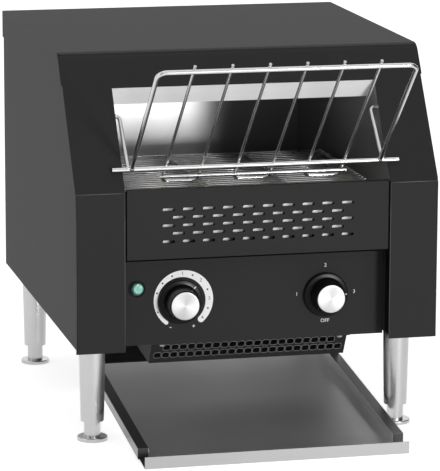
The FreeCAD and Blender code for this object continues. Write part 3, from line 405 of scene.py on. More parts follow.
def linerFinish(s):
    # pressed steel behind the slots, with painted light and shade: each slot's left part is painted lit and
    # its right part painted in shade, darker on the lowest row;
    # the place along X within a slot's pitch gives the mask, and every other row is moved by half a pitch
    material = finish("linerSheet", "brushed", {
        "Stretch": (12.0, 500.0, 500.0), "Tone": grey(0.28), "Dark Tone": grey(0.22), "Roughness": 0.38},
        1.0, 0.000006)
    tree = material.node_tree
    place = objectAxes(tree)
    height = reckon(tree, "SUBTRACT", place["Z"], s["middle"])
    odd = reckon(tree, "PINGPONG", reckon(tree, "ROUND", reckon(tree, "DIVIDE", height, s["rowPitch"])), 1.0)
    column = reckon(tree, "DIVIDE", place["X"], s["pitch"])
    along = reckon(tree, "ADD", column, reckon(tree, "MULTIPLY", odd, 0.5))
    share = softStep(tree, reckon(tree, "FRACT", along), s["turnFrom"], s["turnTo"])
    lowest = reckon(tree, "LESS_THAN", place["Z"], s["lowRow"])
    return overlay(material, share, blend(tree, lowest, grey(s["dark"]), grey(s["lowDark"])))


linerSheet = linerFinish(linerSet)

backSet = {"bright": 0.008, "dark": 0.054, "shadeTone": 0.15}


def backFinish(s):
    # brushed steel with painted shade: clean on the left and darkened to the right for the right pillar's
    # shadow and a dark reflection; a smooth step along X gives the share
    material = finish("chamberBack", "brushed", {
        "Stretch": (30.0, 700.0, 900.0), "Tone": grey(0.8), "Dark Tone": grey(0.66), "Roughness": 0.32},
        1.0, 0.000003)
    tree = material.node_tree
    share = softStep(tree, objectAxes(tree)["X"], s["bright"], s["dark"])
    return overlay(material, share, grey(s["shadeTone"]))


chamberBack = backFinish(backSet)

traySet = {"lip": 0.0016, "face": 0.0008, "side": 0.0108, "rimShadeTone": 0.29, "sideShadeTone": 0.12, "tone": 0.84,
           "darkTone": 0.68}


def trayFinish(s):
    # brushed steel floor with painted shade: the side walls and their hems are painted darker, and the outer
    # faces of lip and hems a plainer grey that dims their reflection;
    # a mask is one where the distance from the tray's middle along an axis is over a limit
    material = finish("trayMetal", "brushed", {
        "Stretch": (20.0, 600.0, 600.0), "Tone": grey(s["tone"]), "Dark Tone": grey(s["darkTone"]),
        "Roughness": 0.34}, 1.0, 0.000004)
    low, high = np.array(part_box("toast_tray"))
    centre, half = (low + high) / 2, (high - low) / 2
    tree = material.node_tree
    place = objectAxes(tree)
    for axis, label, margin, tone in ((0, "X", s["side"], s["sideShadeTone"]), (0, "X", s["face"], s["rimShadeTone"]),
                                      (1, "Y", s["lip"], s["rimShadeTone"])):
        away = reckon(tree, "ABSOLUTE", reckon(tree, "SUBTRACT", place[label], float(centre[axis])))
        overlay(material, reckon(tree, "GREATER_THAN", away, float(half[axis] - margin)), grey(tone))
    return material


trayMetal = trayFinish(traySet)

spunSet = {"ring": 2600.0, "bump": 0.00002, "turn": 0.6, "dark": 0.27, "bright": 0.42}


def spunFace(name, centre, s):
    # concentric tool lines about the cap's middle, and a painted reflection of the spun face: two pale and
    # two darker sectors;
    # the distance from the axis drives the rings, and the cosine of twice the angle gives the sectors
    material = finish(name, "fine", {
        "Tone": grey(0.86), "Mark Tone": grey(0.8), "Roughness": 0.3}, 1.0, s["bump"])
    tree = material.node_tree
    away = fromAxis(tree, centre)
    rings = tree.nodes.new("ShaderNodeTexNoise")
    rings.noise_dimensions = "1D"
    rings.inputs["Scale"].default_value = s["ring"]
    rings.inputs["Detail"].default_value = 2.0
    feed(tree, rings.inputs["W"], reckonVector(tree, "LENGTH", away))
    feed(tree, tree.nodes["Bump"].inputs["Height"], rings.outputs["Fac"])
    parts = tree.nodes.new("ShaderNodeSeparateXYZ")
    feed(tree, parts.inputs[0], away)
    angle = reckon(tree, "ARCTAN2", parts.outputs["Z"], parts.outputs["X"])
    wave = reckon(tree, "COSINE", reckon(tree, "MULTIPLY_ADD", angle, 2.0, s["turn"]))
    share = reckon(tree, "MULTIPLY_ADD", wave, 0.5, 0.5)
    feed(tree, tree.nodes["Principled BSDF"].inputs["Base Color"],
         blend(tree, share, grey(s["dark"]), grey(s["bright"])))
    return material


lensSet = {"x": -117.4, "z": 159.4, "inner": 0.0036, "outer": 0.0058, "rim": (0.0, 0.045, 0.03, 1.0)}


def lensFinish(s):
    # clear green plastic with painted light: a pale marbled painted highlight over the middle and painted
    # shade in deep green towards the bezel;
    # the distance from an axis set a little right of and above the lamp's middle gives the share
    material = finish("lampLens", "fine", {
        "Tone": (0.0, 0.2, 0.13, 1), "Mark Tone": (0.45, 1.0, 0.85, 1), "Roughness": 0.08}, 0.0, 0.00003,
        {"Coat Weight": 0.6, "Coat Roughness": 0.05})
    tree = material.node_tree
    reach = reckonVector(tree, "LENGTH", fromAxis(tree, (s["x"] / 1000.0, 0.0, s["z"] / 1000.0)))
    return overlay(material, softStep(tree, reach, s["inner"], s["outer"]), s["rim"])


lampGreen = lensFinish(lensSet)
print("stage: finishes made")


# camera, floor and light
cameraSet = {"place": (-0.732235, -3.071433, 0.831176), "tilt": 0.203085, "turn": -0.233407, "roll": 0.003744,
             "lens": 237.93, "sensor": 36.0, "shiftX": -0.00196, "shiftY": 0.0011}


def addCamera(s):
    # the camera's back points where turn and tilt say; right and up stand square to it and roll turns them
    back = np.array([math.sin(s["turn"]) * math.cos(s["tilt"]), -math.cos(s["turn"]) * math.cos(s["tilt"]),
                     math.sin(s["tilt"])])
    right = np.cross(-back, [0.0, 0.0, 1.0])
    right /= np.linalg.norm(right)
    up = np.cross(right, -back)
    c, w = math.cos(s["roll"]), math.sin(s["roll"])
    right, up = right * c + up * w, -right * w + up * c
    data = bpy.data.cameras.new("photoCamera")
    data.sensor_fit, data.sensor_width, data.lens = "AUTO", s["sensor"], s["lens"]
    data.shift_x, data.shift_y = s["shiftX"], s["shiftY"]
    data.clip_start, data.clip_end = 0.1, 60.0
    camera = bpy.data.objects.new("photoCamera", data)
    bpy.context.collection.objects.link(camera)
    pose = np.eye(4)
    pose[:3] = np.stack([right, up, back, s["place"]], -1)
    camera.matrix_world = Matrix(pose.tolist())
    bpy.context.scene.camera = camera


addCamera(cameraSet)
bpy.context.scene.view_settings.view_transform = "Standard"

lightSet = {"world": 0.5, "key": 5.0, "front": 42.0, "top": 4.0}


def addSoftBox(name, place, aim, width, height, power):
    # a rectangular lamp at its place that faces its aim
    data = bpy.data.lights.new(name, "AREA")
    data.shape, data.size, data.size_y, data.energy = "RECTANGLE", width, height, power
    lamp = bpy.data.objects.new(name, data)
    bpy.context.collection.objects.link(lamp)
    lamp.location = place
    lamp.rotation_euler = (Vector(aim) - Vector(place)).to_track_quat("-Z", "Y").to_euler()


addSoftBox("leftBox", (-2.6, -0.6, 1.3), (0, 0, 0.2), 1.6, 1.8, lightSet["key"])
addSoftBox("frontBox", (0.95, -2.7, 0.34), (0.0, 0.1, 0.3), 0.5, 0.4, lightSet["front"])
addSoftBox("topBox", (0.0, 0.5, 2.6), (0, 0, 0.2), 2.2, 1.6, lightSet["top"])


def sightRays(tree):
    # one for rays that show the studio, straight, mirrored or through glass, and zero for those that light
    rays = tree.nodes.new("ShaderNodeLightPath").outputs
    unbent = reckon(tree, "MAXIMUM", rays["Is Camera Ray"], rays["Is Glossy Ray"])
    return reckon(tree, "MAXIMUM", unbent, rays["Is Transmission Ray"])


def addWorld(s):
    # white where it shows, weaker where it only lights
    world = bpy.data.worlds.new("studio")
    bpy.context.scene.world = world
    world.use_nodes = True
    tree = world.node_tree
    sky = tree.nodes["Background"].inputs
    feed(tree, sky["Color"], grey(1.0))
    feed(tree, sky["Strength"], reckon(tree, "MULTIPLY_ADD", sightRays(tree), 1.0 - s["world"], s["world"]))


addWorld(lightSet)

floorSet = {"half": 6.0, "near": -6.0, "far": 4.0, "bend": 1.5, "high": 6.0, "tone": 0.82, "glow": 0.74}


def addFloor(s):
    # a wide plain floor that rises into a backdrop: height is zero, then a quarter circle, then upright
    u = np.array([-s["half"], s["half"]])
    turn = np.radians(np.linspace(-90, 0, 13))
    y = np.concatenate([[s["near"]], s["far"] + s["bend"] * np.cos(turn), [s["far"] + s["bend"]]])[:, None]
    z = np.concatenate([[0.0], s["bend"] + s["bend"] * np.sin(turn), [s["high"]]])[:, None]
    points = np.stack(np.broadcast_arrays(u, y, z), -1)
    floor = putMesh("studioFloor", points.reshape(-1, 3), gridFaces(len(y), len(u)))
    material = bpy.data.materials.new("studioWhite")
    material.use_nodes = True
    tree = material.node_tree
    tree.nodes.clear()
    kinds = ("OutputMaterial", "BsdfDiffuse", "Emission", "AddShader", "MixShader")
    out, diffuse, glow, both, choose = [tree.nodes.new("ShaderNode" + kind) for kind in kinds]
    feed(tree, diffuse.inputs["Color"], grey(s["tone"]))
    feed(tree, glow.inputs["Strength"], s["glow"])
    feed(tree, both.inputs[0], diffuse.outputs[0])
    feed(tree, both.inputs[1], glow.outputs[0])
    feed(tree, choose.inputs["Fac"], sightRays(tree))
    feed(tree, choose.inputs[1], diffuse.outputs[0])
    feed(tree, choose.inputs[2], both.outputs[0])
    feed(tree, out.inputs["Surface"], choose.outputs[0])
    floor.data.materials.append(material)


addFloor(floorSet)

flagSet = {"count": 9, "bow": 0.02, "upright": ((0.0, 0.02), (0.0, 1.1)),
           "lying": ((0.75, 0.006), (0.0, 0.006))}


def addFlag(name, start, stop, rows, shades, s):
    # a dark card beside the object that shows as a band in bright metal, never to the camera itself: its line
    # from start to stop has a slight bow, and each row moves that line along Y and lifts it
    t = np.linspace(0.0, 1.0, s["count"])[:, None]
    x, y = (np.array(start) * (1 - t) + np.array(stop) * t).T
    x = x + s["bow"] * np.sin(math.pi * t[:, 0])
    along, lift = np.array(rows).T[..., None]
    points = np.stack(np.broadcast_arrays(x, y + along, lift), -1)
    card = putMesh(name, points.reshape(-1, 3), gridFaces(len(rows), s["count"]))
    card.data.materials.append(blackInk)
    card.visible_camera = False
    card.visible_shadow = shades


addFlag("rightFlag", (0.85, -0.75), (0.85, 0.25), flagSet["upright"], True, flagSet)
addFlag("leftFlag", (-0.95, -1.3), (-0.95, -0.75), flagSet["upright"], True, flagSet)
# the right half of the chamber mirrors this one
addFlag("lowFlag", (0.36, -1.9), (1.3, -1.9), flagSet["lying"], False, flagSet)
print("stage: camera, floor and light set")


# finishes of the carried-over nodes
nodeFinish = [
    (powderCoat, ["left_side_panel", "right_side_panel", "top_cover", "rear_panel", "base_plate",
                  "vent_panel", "control_panel", "exit_guard"]),
    (brushedWall, ["left_tray_carrier", "right_tray_carrier"]),
    (leftWall, ["left_chamber_wall"]),
    (rightWall, ["right_chamber_wall"]),
    (chamberBack, ["back_wall"]),
    (brushedSheet, ["chamber_roof"]),
    (brightStrip, ["deflector_strip"]),
    (trayMetal, ["toast_tray"]),
    (zincPlate, ["front_belt_wheels", "rear_belt_wheels", "drive_motor", "motor_gearbox", "motor_shaft",
                 "drive_sprocket", "driven_sprocket", "drive_chain", "speed_shaft", "selector_shaft",
                 "shaft_nuts", "leg_bolts", "panel_screws"]),
    (beltWire, ["conveyor_belt"]),
    (linerSheet, ["vent_liner"]),
    (darkSheet, ["controls_shield", "exit_ramp"]),
    (bronze, ["shaft_bushes"]),
    (quartzTube, ["heating_elements"]),
    (ceramicWhite, ["heater_insulators"]),
    (chromeWire, ["rack_frame", "rack_cross_rod", "rack_guide_wires", "rack_tie_rod", "left_rack_arm",
                  "right_rack_arm"]),
    (chromeLeg, ["front_shaft", "rear_shaft", "legs", "front_left_foot", "front_right_foot", "rear_left_foot",
                 "rear_right_foot"]),
    (bodyPlastic, ["speed_potentiometer", "selector_switch", "fan_frame", "fan_rotor", "cord_gland",
                   "speed_knob", "selector_knob", "speed_knob_cap", "selector_knob_cap"]),
    (knobPlastic, ["lamp_housing"]),
    (lampGreen, ["lamp_lens"]),
]
for material, names in nodeFinish:
    for name in names:
        node = frame["nodes"][name]
        node.data.materials.clear()
        node.data.materials.append(material)
print("stage: nodes finished")

bodies = frame["record"]["behaviour"]["bodies"]
bodyOf = {member: body for body, members in bodies.items() for member in members}


# knobs and caps
mm = 0.001
outward = np.array([0.0, -1.0, 0.0])  # from the control panel towards the front
knobSet = {"height": 144.7, "panel": 23.0, "gap": 0.6, "skirt": 22.5, "skirtThick": 4.5, "skirtRound": 1.5,
           "shoulder": 2.0, "grip": 17.0, "tip": 15.2, "taperEnd": 1.2, "noseRound": 0.9, "noseDepth": 0.95,
           "reach": 24.0, "flutes": 40, "fluteDepth": 0.00022, "sides": 240, "well": 0.8, "capGap": 0.15,
           "cap": 14.3, "capSides": 96, "pointerEdge": 1.3, "pointerHalf": 0.45, "pointerSink": 0.42,
           "pointerThick": 0.0001}


def addKnob(name, capName, nodeName, capNode, x, pointerAngle, s):
    # the grip's section: skirt with a rounded rim, a waist, a slightly conical fluted grip, a rounded nose;
    # rows are radius, height and the share of the flutes
    back = rowPoint(x, s["panel"] - s["gap"], s["height"])
    depth, thick, shoulder = s["reach"] - s["gap"], s["skirtThick"], s["skirtThick"] - s["shoulder"]
    rim, nose, rise = s["skirtRound"], s["noseRound"], s["noseDepth"]
    well = s["cap"] + s["capGap"]
    section = [(s["skirt"] - 0.3, 0.0, 0), (s["skirt"], 0.5, 0), (s["skirt"], shoulder, 0)]
    section += [(s["skirt"] - rim + rim * math.cos(t), shoulder + rim * math.sin(t), 0)
                for t in np.radians(np.linspace(15, 90, 6))]
    section += [(s["grip"] + 1.4, thick - 0.4, 0), (s["grip"] + 0.5, thick - 0.1, 0.2),
                (s["grip"] + 0.1, thick + 0.9, 1)]
    section += [(s["grip"] - (s["grip"] - s["tip"]) * t, thick + (depth - thick - s["taperEnd"]) * t, 1)
                for t in np.linspace(0.1, 1.0, 8)]
    section += [(s["tip"] - nose + nose * math.cos(t), depth - rise + rise * math.sin(t), 0.5 * math.cos(t))
                for t in np.radians(np.linspace(20, 90, 5))]
    section += [(well, depth, 0), (well, depth - s["well"], 0), (0.2, depth - s["well"], 0)]
    grip = turned(np.array(section) * (mm, mm, 1.0), back, outward, s["sides"], s["flutes"], s["fluteDepth"])
    knob = addPiece(name, [grip], knobPlastic)
    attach(knob, bodyOf[nodeName])
    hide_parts(nodeName)
    # pointer: a short white bar printed on the skirt just outside the grip
    a = math.radians(pointerAngle)
    away = np.array([math.sin(a), 0.0, math.cos(a)])
    across = np.array([math.cos(a), 0.0, -math.sin(a)])
    face = back + outward * (thick - s["pointerSink"]) * mm
    inner, outer = (s["grip"] + s["pointerEdge"]) * mm, (s["skirt"] - s["pointerEdge"]) * mm
    half = s["pointerHalf"] * mm
    bar = [(inner, -half), (outer, -half), (outer, half), (inner, half)]
    plate = flatPlate(bar, lambda u, v, w: face + away * u[:, None] + across * v[:, None] + outward * w,
                      s["pointerThick"])
    pointer = addPiece(name + "Pointer", [plate], whiteInk, False)
    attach(pointer, bodyOf[nodeName])
    # cap: a flat spun disc with a small chamfered rim
    edge = [(s["cap"] - 0.5, -0.75), (s["cap"], -0.75), (s["cap"], -0.3), (s["cap"] - 0.35, -0.02),
            (s["cap"] - 0.9, 0.0), (s["cap"] * 0.5, -0.02), (0.3, -0.03)]
    disc = turned((np.array(edge) + (0.0, depth)) * mm, back, outward, s["capSides"])
    cap = addPiece(capName, [disc], spunFace(capName + "Metal", back, spunSet))
    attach(cap, bodyOf[capNode])
    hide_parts(capNode)


addKnob("speedGrip", "speedCap", "speed_knob", "speed_knob_cap", -74.5, 45.0, knobSet)
addKnob("selectorGrip", "selectorCap", "selector_knob", "selector_knob_cap", 74.5, 90.0, knobSet)
print("stage: knobs made")


# printed scale and marks on the control panel
printSet = {"panel": 23.0, "lift": 0.06, "knobX": 74.5, "height": 144.7, "inner": 24.4, "outer": 30.2,
            "shiftX": 1.9, "shiftZ": 1.0, "start": -143.0, "stop": 136.0, "steps": 120, "endDrop": 0.004,
            "dot": 0.95, "dotThick": 0.03, "aside": 1.4, "inkLift": 0.04, "extrude": 0.00002}


def panelPoint(x, z, lift):  # a point in front of the control panel's face, millimetres in, metres out
    return rowPoint(x, printSet["panel"] - lift, z)


def scaleEdges(angle, s):
    # inner and outer edge of the scale's band at angles clockwise from the top: an inner circle beside the
    # shaft and an outer circle set to the right
    a = np.radians(angle)
    way = np.stack([np.sin(a), np.cos(a)], -1)
    centre = np.array([s["aside"] - s["knobX"], s["height"]])
    return centre + s["inner"] * way, centre + (s["shiftX"], s["shiftZ"]) + s["outer"] * way


def addScale(s):
    # the band's four long edges as the columns of a closed grid, with a disc at each round end
    inner, outer = scaleEdges(np.linspace(s["start"], s["stop"], s["steps"]), s)
    edges = [panelPoint(*line.T, lift) for line, lift in ((outer, s["lift"]), (inner, s["lift"]),
                                                          (inner, 0.0), (outer, 0.0))]
    last = 4 * s["steps"] - 4
    faces = gridFaces(s["steps"], 4, closeColumns=True) + [[0, 1, 2, 3], [last, last + 1, last + 2, last + 3]]
    shapes = [(np.stack(edges, 1).reshape(-1, 3), faces)]
    for near, far in ((inner[0], outer[0]), (inner[-1], outer[-1])):
        disc = circle(*(near + far) / 2, np.linalg.norm(far - near) / 2, 32)
        shapes.append(flatPlate(disc, panelPoint, s["lift"] - s["endDrop"]))
    scale = addPiece("speedScale", shapes, whiteInk, False)
    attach(scale, "casing")


addScale(printSet)


def addMark(name, text, x, z, size, material, lift):
    # a printed character: a filled text curve turned into a mesh and laid on the panel
    curve = bpy.data.curves.new(name, "FONT")
    curve.body, curve.size, curve.extrude = text, size / 1000.0, printSet["extrude"]
    curve.align_x, curve.align_y = "CENTER", "CENTER"
    curve.resolution_u = 3
    temp = bpy.data.objects.new(name + "Curve", curve)
    bpy.context.collection.objects.link(temp)
    bpy.context.view_layer.update()
    mesh = bpy.data.meshes.new_from_object(temp.evaluated_get(bpy.context.evaluated_depsgraph_get()))
    bpy.data.objects.remove(temp)
    points = np.empty(len(mesh.vertices) * 3)
    mesh.vertices.foreach_get("co", points)
    across, up, out = points.reshape(-1, 3).T
    mesh.vertices.foreach_set("co", (panelPoint(x, z, lift) + np.stack([across, -out, up], -1)).ravel())
    mesh.update()
    mesh.materials.clear()
    mesh.materials.append(material)
    piece = bpy.data.objects.new(name, mesh)
    bpy.context.collection.objects.link(piece)
    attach(piece, "casing")


def scalePlace(angle, s):  # middle of the band at an angle clockwise from the top
    return sum(scaleEdges(angle, s)) / 2


def addDots(s):
    # small flat discs between the digits, on the middle of the band
    shapes = [flatPlate(circle(*scalePlace(angle, s), s["dot"], 16),
                        lambda u, v, w: panelPoint(u, v, s["lift"] + w), s["dotThick"])
              for angle in (-113, -72, -48, -23, 22, 68, 109)]
    dots = addPiece("scaleDots", shapes, blackInk, False)
    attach(dots, "casing")


addDots(printSet)
inkLift = printSet["inkLift"]
for digit, angle in (("1", 0), ("2", 43), ("3", 88), ("4", 132)):
    markX, markZ = scalePlace(angle, printSet)
    addMark("scaleDigit" + digit, digit, markX, markZ, 5.0, blackInk, printSet["lift"] + inkLift)
for name, text, markX, markZ, size in (
        ("scaleLess", "-", -84.3, 119.0, 8.0), ("scaleMore", "+", -60.8, 118.4, 6.5),
        ("selectorMark_top", "2", 74.5, 174.5, 5.2), ("selectorMark_left", "1", 45.0, 146.0, 5.2),
        ("selectorMark_right", "3", 104.5, 146.0, 5.2), ("selectorMark_bottom", "OFF", 74.5, 117.5, 5.2)):
    addMark(name, text, markX, markZ, size, whiteInk, inkLift)
print("stage: printed marks made")


# lamp
lampSet = {"x": -118.3, "z": 159.1, "panel": 23.0, "sink": 0.2, "radius": 7.4, "clear": 0.93, "edge": 1.0,
           "dome": 3.0, "facet": 0.22, "tip": 0.1, "rings": 25, "sides": 72}


def addLamp(s):
    # a shallow dome whose face is pressed into facets: the height dips on a cell pattern of rings and spokes
    centre = rowPoint(s["x"], s["panel"] - s["sink"], s["z"])
    angle = np.linspace(0, 2 * math.pi, s["sides"], False)
    rr, aa = np.meshgrid(np.linspace(0.0, 1.0, s["rings"] + 1)[1:], angle, indexing="ij")
    height = s["edge"] + (s["dome"] - s["edge"]) * np.sqrt(np.clip(1 - rr ** 2, 0, 1))
    height = height + s["facet"] * np.cos(rr * 4 * math.pi) * np.cos(6 * aa) * (1 - rr ** 4)
    reach = s["radius"] * s["clear"] * mm * rr
    face = centre + np.stack([reach * np.cos(aa), -height * mm, reach * np.sin(aa)], -1)
    base = np.stack([face[-1, :, 0], np.full(s["sides"], centre[1]), face[-1, :, 2]], -1)
    top = centre + outward * (s["dome"] + s["tip"]) * mm
    points = np.concatenate([face.reshape(-1, 3), base, [top, centre]])
    count = len(points)
    faces = gridFaces(s["rings"] + 1, s["sides"], closeColumns=True)
    faces += endFans(count - 2, count - 1, s["rings"] * s["sides"], s["sides"])
    lens = addPiece("lampLens", [(points, faces)], lampGreen)
    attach(lens, "casing")
    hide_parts("lamp_lens")


addLamp(lampSet)
print("stage: lamp made")


# conveyor belt: thin cross wires, each hooked to the next along four strands
beltSet = {"front": 26.5, "rear": 231.5, "height": 239.0, "radius": 15.0, "wire": 0.72, "count": 50,
           "half": 126.0, "strands": 4, "strandEdge": 1.5, "hook": 2.6, "hold": 1.6, "shoulder": 0.55,
           "sides": 6}


def beltPlace(s, travel, sink):
    # distance round the loop: top run, rear half circle, bottom run, front half circle; sink goes inwards
    r, run, arc = s["radius"] - sink, s["rear"] - s["front"], math.pi * s["radius"]
    t = np.mod(travel, 2 * (run + arc))
    a = np.clip((t - run) / s["radius"], 0, math.pi)
    b = np.clip((t - 2 * run - arc) / s["radius"], 0, math.pi)
    parts = [t < run, t < run + arc, t < 2 * run + arc]
    y = np.select(parts, [s["front"] + t, s["rear"] + r * np.sin(a), s["rear"] - (t - run - arc)],
                  s["front"] - r * np.sin(b))
    z = np.select(parts, [s["height"] + r, s["height"] + r * np.cos(a), s["height"] - r],
                  s["height"] - r * np.cos(b))
    return y, z


def tubes(paths, radius, sides):
    # paths is runs by points by 3: a ring of the given radius stands square to each path at each point
    step = np.gradient(paths, axis=1)
    step /= np.linalg.norm(step, axis=2, keepdims=True)
    up = np.cross(step, np.array([0.0, 0.0, 1.0]) + 0.01)
    up /= np.linalg.norm(up, axis=2, keepdims=True)
    side = np.cross(step, up)
    a = 2 * math.pi * np.arange(sides) / sides
    ring = np.cos(a)[:, None] * up[:, :, None, :] + np.sin(a)[:, None] * side[:, :, None, :]
    points = paths[:, :, None, :] + radius * ring
    runs, count = paths.shape[:2]
    first = list(range(sides))
    last = [i + (count - 1) * sides for i in first]
    faces = repeated(gridFaces(count, sides, closeColumns=True), count * sides, runs)
    faces += repeated([first[::-1], last], count * sides, runs)
    return points.reshape(-1, 3), faces


def addBelt(s):
    # a wire's places along X, how far each runs ahead to the next wire's loop, and how far it sinks under it
    pitch = 2 * (s["rear"] - s["front"] + math.pi * s["radius"]) / s["count"]
    hold, edge = s["wire"] * s["hold"], s["half"] - s["hook"] - s["strandEdge"]
    strands = np.linspace(-edge, edge, s["strands"])[:, None]
    bends = strands + s["hook"] * np.array([-1.0, -0.5, -0.25, 0.25, 0.5, 1.0])
    x = np.r_[-s["half"], bends.ravel(), s["half"]]
    rise, over = pitch * s["shoulder"], pitch + hold
    ahead = np.r_[0.0, np.tile([0.0, rise, over, over, rise, 0.0], s["strands"]), 0.0]
    sink = np.r_[0.0, np.tile([0.0, hold, hold, hold, hold, 0.0], s["strands"]), 0.0]
    y, z = beltPlace(s, (np.arange(s["count"]) * pitch)[:, None] + ahead, sink)
    belt = addPiece("meshBelt", [tubes(rowPoint(x, y, z), s["wire"] * mm, s["sides"])], beltWire)
    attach(belt, "casing")
    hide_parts("conveyor_belt")


addBelt(beltSet)
print("stage: belt made")


# perforated guard: pressed rims round the holes, in a lighter coat that is a painted highlight
guardSet = {"front": 33.5, "lean": 15.0, "top": 101.6, "bottom": 76.5, "pitch": 8.5, "rowPitch": 10.4,
            "first": 8.4, "hole": 6.9, "corner": 1.9, "upper": 21, "lower": 23, "foot": (0.75, 0.03),
            "crown": (0.3375, 0.28), "inside": (-0.02, 0.06)}


def guardPoint(s, x, down, lift):  # x, distance down the leaning plate and height off its face
    drop = s["top"] - s["bottom"]
    length = math.hypot(drop, s["lean"])
    ty, tz = s["lean"] / length, -drop / length
    return rowPoint(x, s["front"] + ty * down + tz * lift, s["top"] + tz * down - ty * lift)


def addGuardRims(s):
    # each rim is a rounded square ring of three lines, set out from the hole's edge and lifted off the plate
    flat = s["hole"] / 2 - s["corner"]
    quarter = np.repeat([0.0, 90.0, 180.0, 270.0], 4)
    a = np.radians(quarter + np.tile([0.0, 30.0, 60.0, 90.0], 4))
    q = np.radians(quarter + 45.0)
    edge = np.stack([flat * np.sign(np.cos(q)) + s["corner"] * np.cos(a),
                     flat * np.sign(np.sin(q)) + s["corner"] * np.sin(a)], -1)
    away = edge / np.linalg.norm(edge, axis=1)[:, None]
    band, lift = np.array([s["foot"], s["crown"], s["inside"]]).T
    u, v = np.moveaxis(edge + away * band[:, None, None], -1, 0)
    holes = np.array([((column - (count - 1) / 2) * s["pitch"], s["first"] + row * s["rowPitch"])
                      for row, count in enumerate((s["upper"], s["lower"])) for column in range(count)])
    x, down = holes.T[..., None, None]
    points = guardPoint(s, x + u, down - v, lift[:, None])
    lines, count = u.shape
    faces = repeated(gridFaces(lines, count, closeRows=True, closeColumns=True), lines * count, len(holes))
    rims = addPiece("guardRims", [(points.reshape(-1, 3), faces)], rimHighlightCoat)
    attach(rims, "casing")


addGuardRims(guardSet)

# casing: the rounded bends of the folded pillars, with a painted highlight: their beads are a lighter coat
# than the casing
edgeSet = {"outer": 183.55, "inner": 135.0, "front": 0.2, "above": 0.2, "high": 260.2, "radius": 0.45,
           "steps": 5, "sides": 8}


def addEdges(s):
    # thin round beads along the front pillars' upright bends and their upper bend, half sunk into the sheet
    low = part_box("left_side_panel")[0][2] * 1000.0 + s["above"]
    lines = [((x, low), (x, s["high"])) for x in (-s["outer"], -s["inner"], s["inner"], s["outer"])]
    lines += [((side * s["inner"], s["high"]), (side * s["outer"], s["high"])) for side in (-1, 1)]
    ends = np.array(lines)[:, :, None]
    along = np.linspace(0.0, 1.0, s["steps"])[:, None]
    x, z = np.moveaxis(ends[:, 0] * (1 - along) + ends[:, 1] * along, -1, 0)
    paths = rowPoint(x, s["front"], z)
    edges = addPiece("pillarEdges", [tubes(paths, s["radius"] * mm, s["sides"])], edgeHighlightCoat)
    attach(edges, "casing")


addEdges(edgeSet)

# painted shade round the vent panel: near-black bars fill the gaps to the pillars and to the control panel
gapShadeSet = {"inner": 132.75, "outer": 134.65, "front": 0.9, "back": 1.7, "bottom": 193.0, "top": 261.5,
           "drop": 1.5, "under": 0.05}


def addGapShade(s):
    # an upright bar beside each pillar and a level bar under the panel
    low, front, back = s["bottom"] - s["drop"], s["front"], s["back"]
    shapes = [slab((side * s["inner"], front, low), (side * s["outer"], back, s["top"])) for side in (-1, 1)]
    shapes.append(slab((-s["inner"], front, low), (s["inner"], back, s["bottom"] - s["under"])))
    seal = addPiece("ventGapShade", shapes, gapShadeBlack, False)
    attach(seal, "casing")


addGapShade(gapShadeSet)

# painted shade: dark boxes in the front ends of the tray's hollow side hems
hemShadeSet = {"front": -41.0, "back": -40.55, "bottom": 2.9, "top": 13.4, "width": 10.6, "inset": 0.1}


def addHemShade(s):
    # one thin box in each hem, set in from the sides of the tray's own box
    low, high = np.array(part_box("toast_tray")) * 1000.0
    shapes = [slab((x0, s["front"], s["bottom"]), (x0 + s["width"], s["back"], s["top"]))
              for x0 in (low[0] + s["inset"], high[0] - s["inset"] - s["width"])]
    hemShades = addPiece("trayHemShade", shapes, bodyPlastic, False)
    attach(hemShades, "tray")


addHemShade(hemShadeSet)

# loading rack: weld beads where its wires meet; a bead's radii are across, across and along its wire
rackSet = {"angle": 42.5, "length": 168.0, "wire": 2.3, "proud": 0.1, "pitch": 36.3, "half": 126.0,
           "arm": 129.0, "guideBead": (1.5, 1.9, 2.4), "footBead": (2.9, 3.0, 3.4), "footUp": 1.9,
           "armBead": (2.6, 2.6, 3.4), "armUp": 1.2, "sides": 10, "rings": 6}


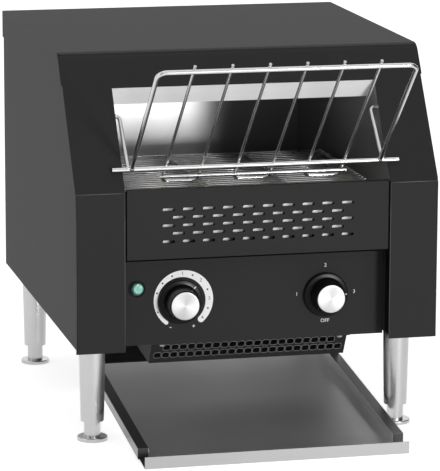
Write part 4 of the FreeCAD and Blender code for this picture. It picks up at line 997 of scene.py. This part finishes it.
def beadAt(centre, radii, along, s):
    # a squashed ball: the two cross radii times the latitude's cosine, and the long radius times its sine
    side = np.cross(along, [1.0, 0.0, 0.0])
    if np.linalg.norm(side) < 0.1:
        side = np.cross(along, [0.0, 0.0, 1.0])
    side /= np.linalg.norm(side)
    other = np.cross(along, side)
    r0, r1, r2 = np.array(radii) * mm
    la, lo = np.meshgrid(np.radians(np.linspace(-90, 90, s["rings"] + 1))[1:-1],
                         np.linspace(0, 2 * math.pi, s["sides"], False), indexing="ij")
    ball = (centre + (r0 * np.cos(la) * np.cos(lo))[..., None] * side
            + (r1 * np.cos(la) * np.sin(lo))[..., None] * other + (r2 * np.sin(la))[..., None] * along)
    points = np.concatenate([ball.reshape(-1, 3), [centre - along * r2, centre + along * r2]])
    count, rows = len(points), len(la)
    faces = gridFaces(rows, s["sides"], closeColumns=True)
    faces += endFans(count - 2, count - 1, (rows - 1) * s["sides"], s["sides"])
    return points, faces


def addBeads(s):
    # on each guide wire's leg where it crosses the rod and the frame's rail, then at the frame's feet and the
    # arms' feet
    a = math.radians(s["angle"])
    across, upward = np.array([1.0, 0.0, 0.0]), np.array([0.0, 0.0, 1.0])
    along = np.array([0.0, -math.cos(a), math.sin(a)])
    normal = np.array([0.0, math.sin(a), math.cos(a)])
    rest = sum(np.array(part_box("rack_cross_rod"))) / 2
    over = normal * (s["wire"] + s["proud"])
    shapes = []
    for i in range(-3, 3):
        for down in (0.0, s["length"]):
            centre = rest + (across * (i + 0.5) * s["pitch"] + along * down + over) * mm
            shapes.append(beadAt(centre, s["guideBead"], along, s))
    for side in (-1, 1):
        foot = rest + (across * side * s["half"] + along * s["footUp"]) * mm
        shapes.append(beadAt(foot, s["footBead"], along, s))
        arm = rest + (across * side * s["arm"] + upward * s["armUp"]) * mm
        shapes.append(beadAt(arm, s["armBead"], across, s))
    beads = addPiece("rackWelds", shapes, weldMetal)
    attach(beads, "loading_rack")


addBeads(rackSet)
print("stage: guard rims and rack welds made")
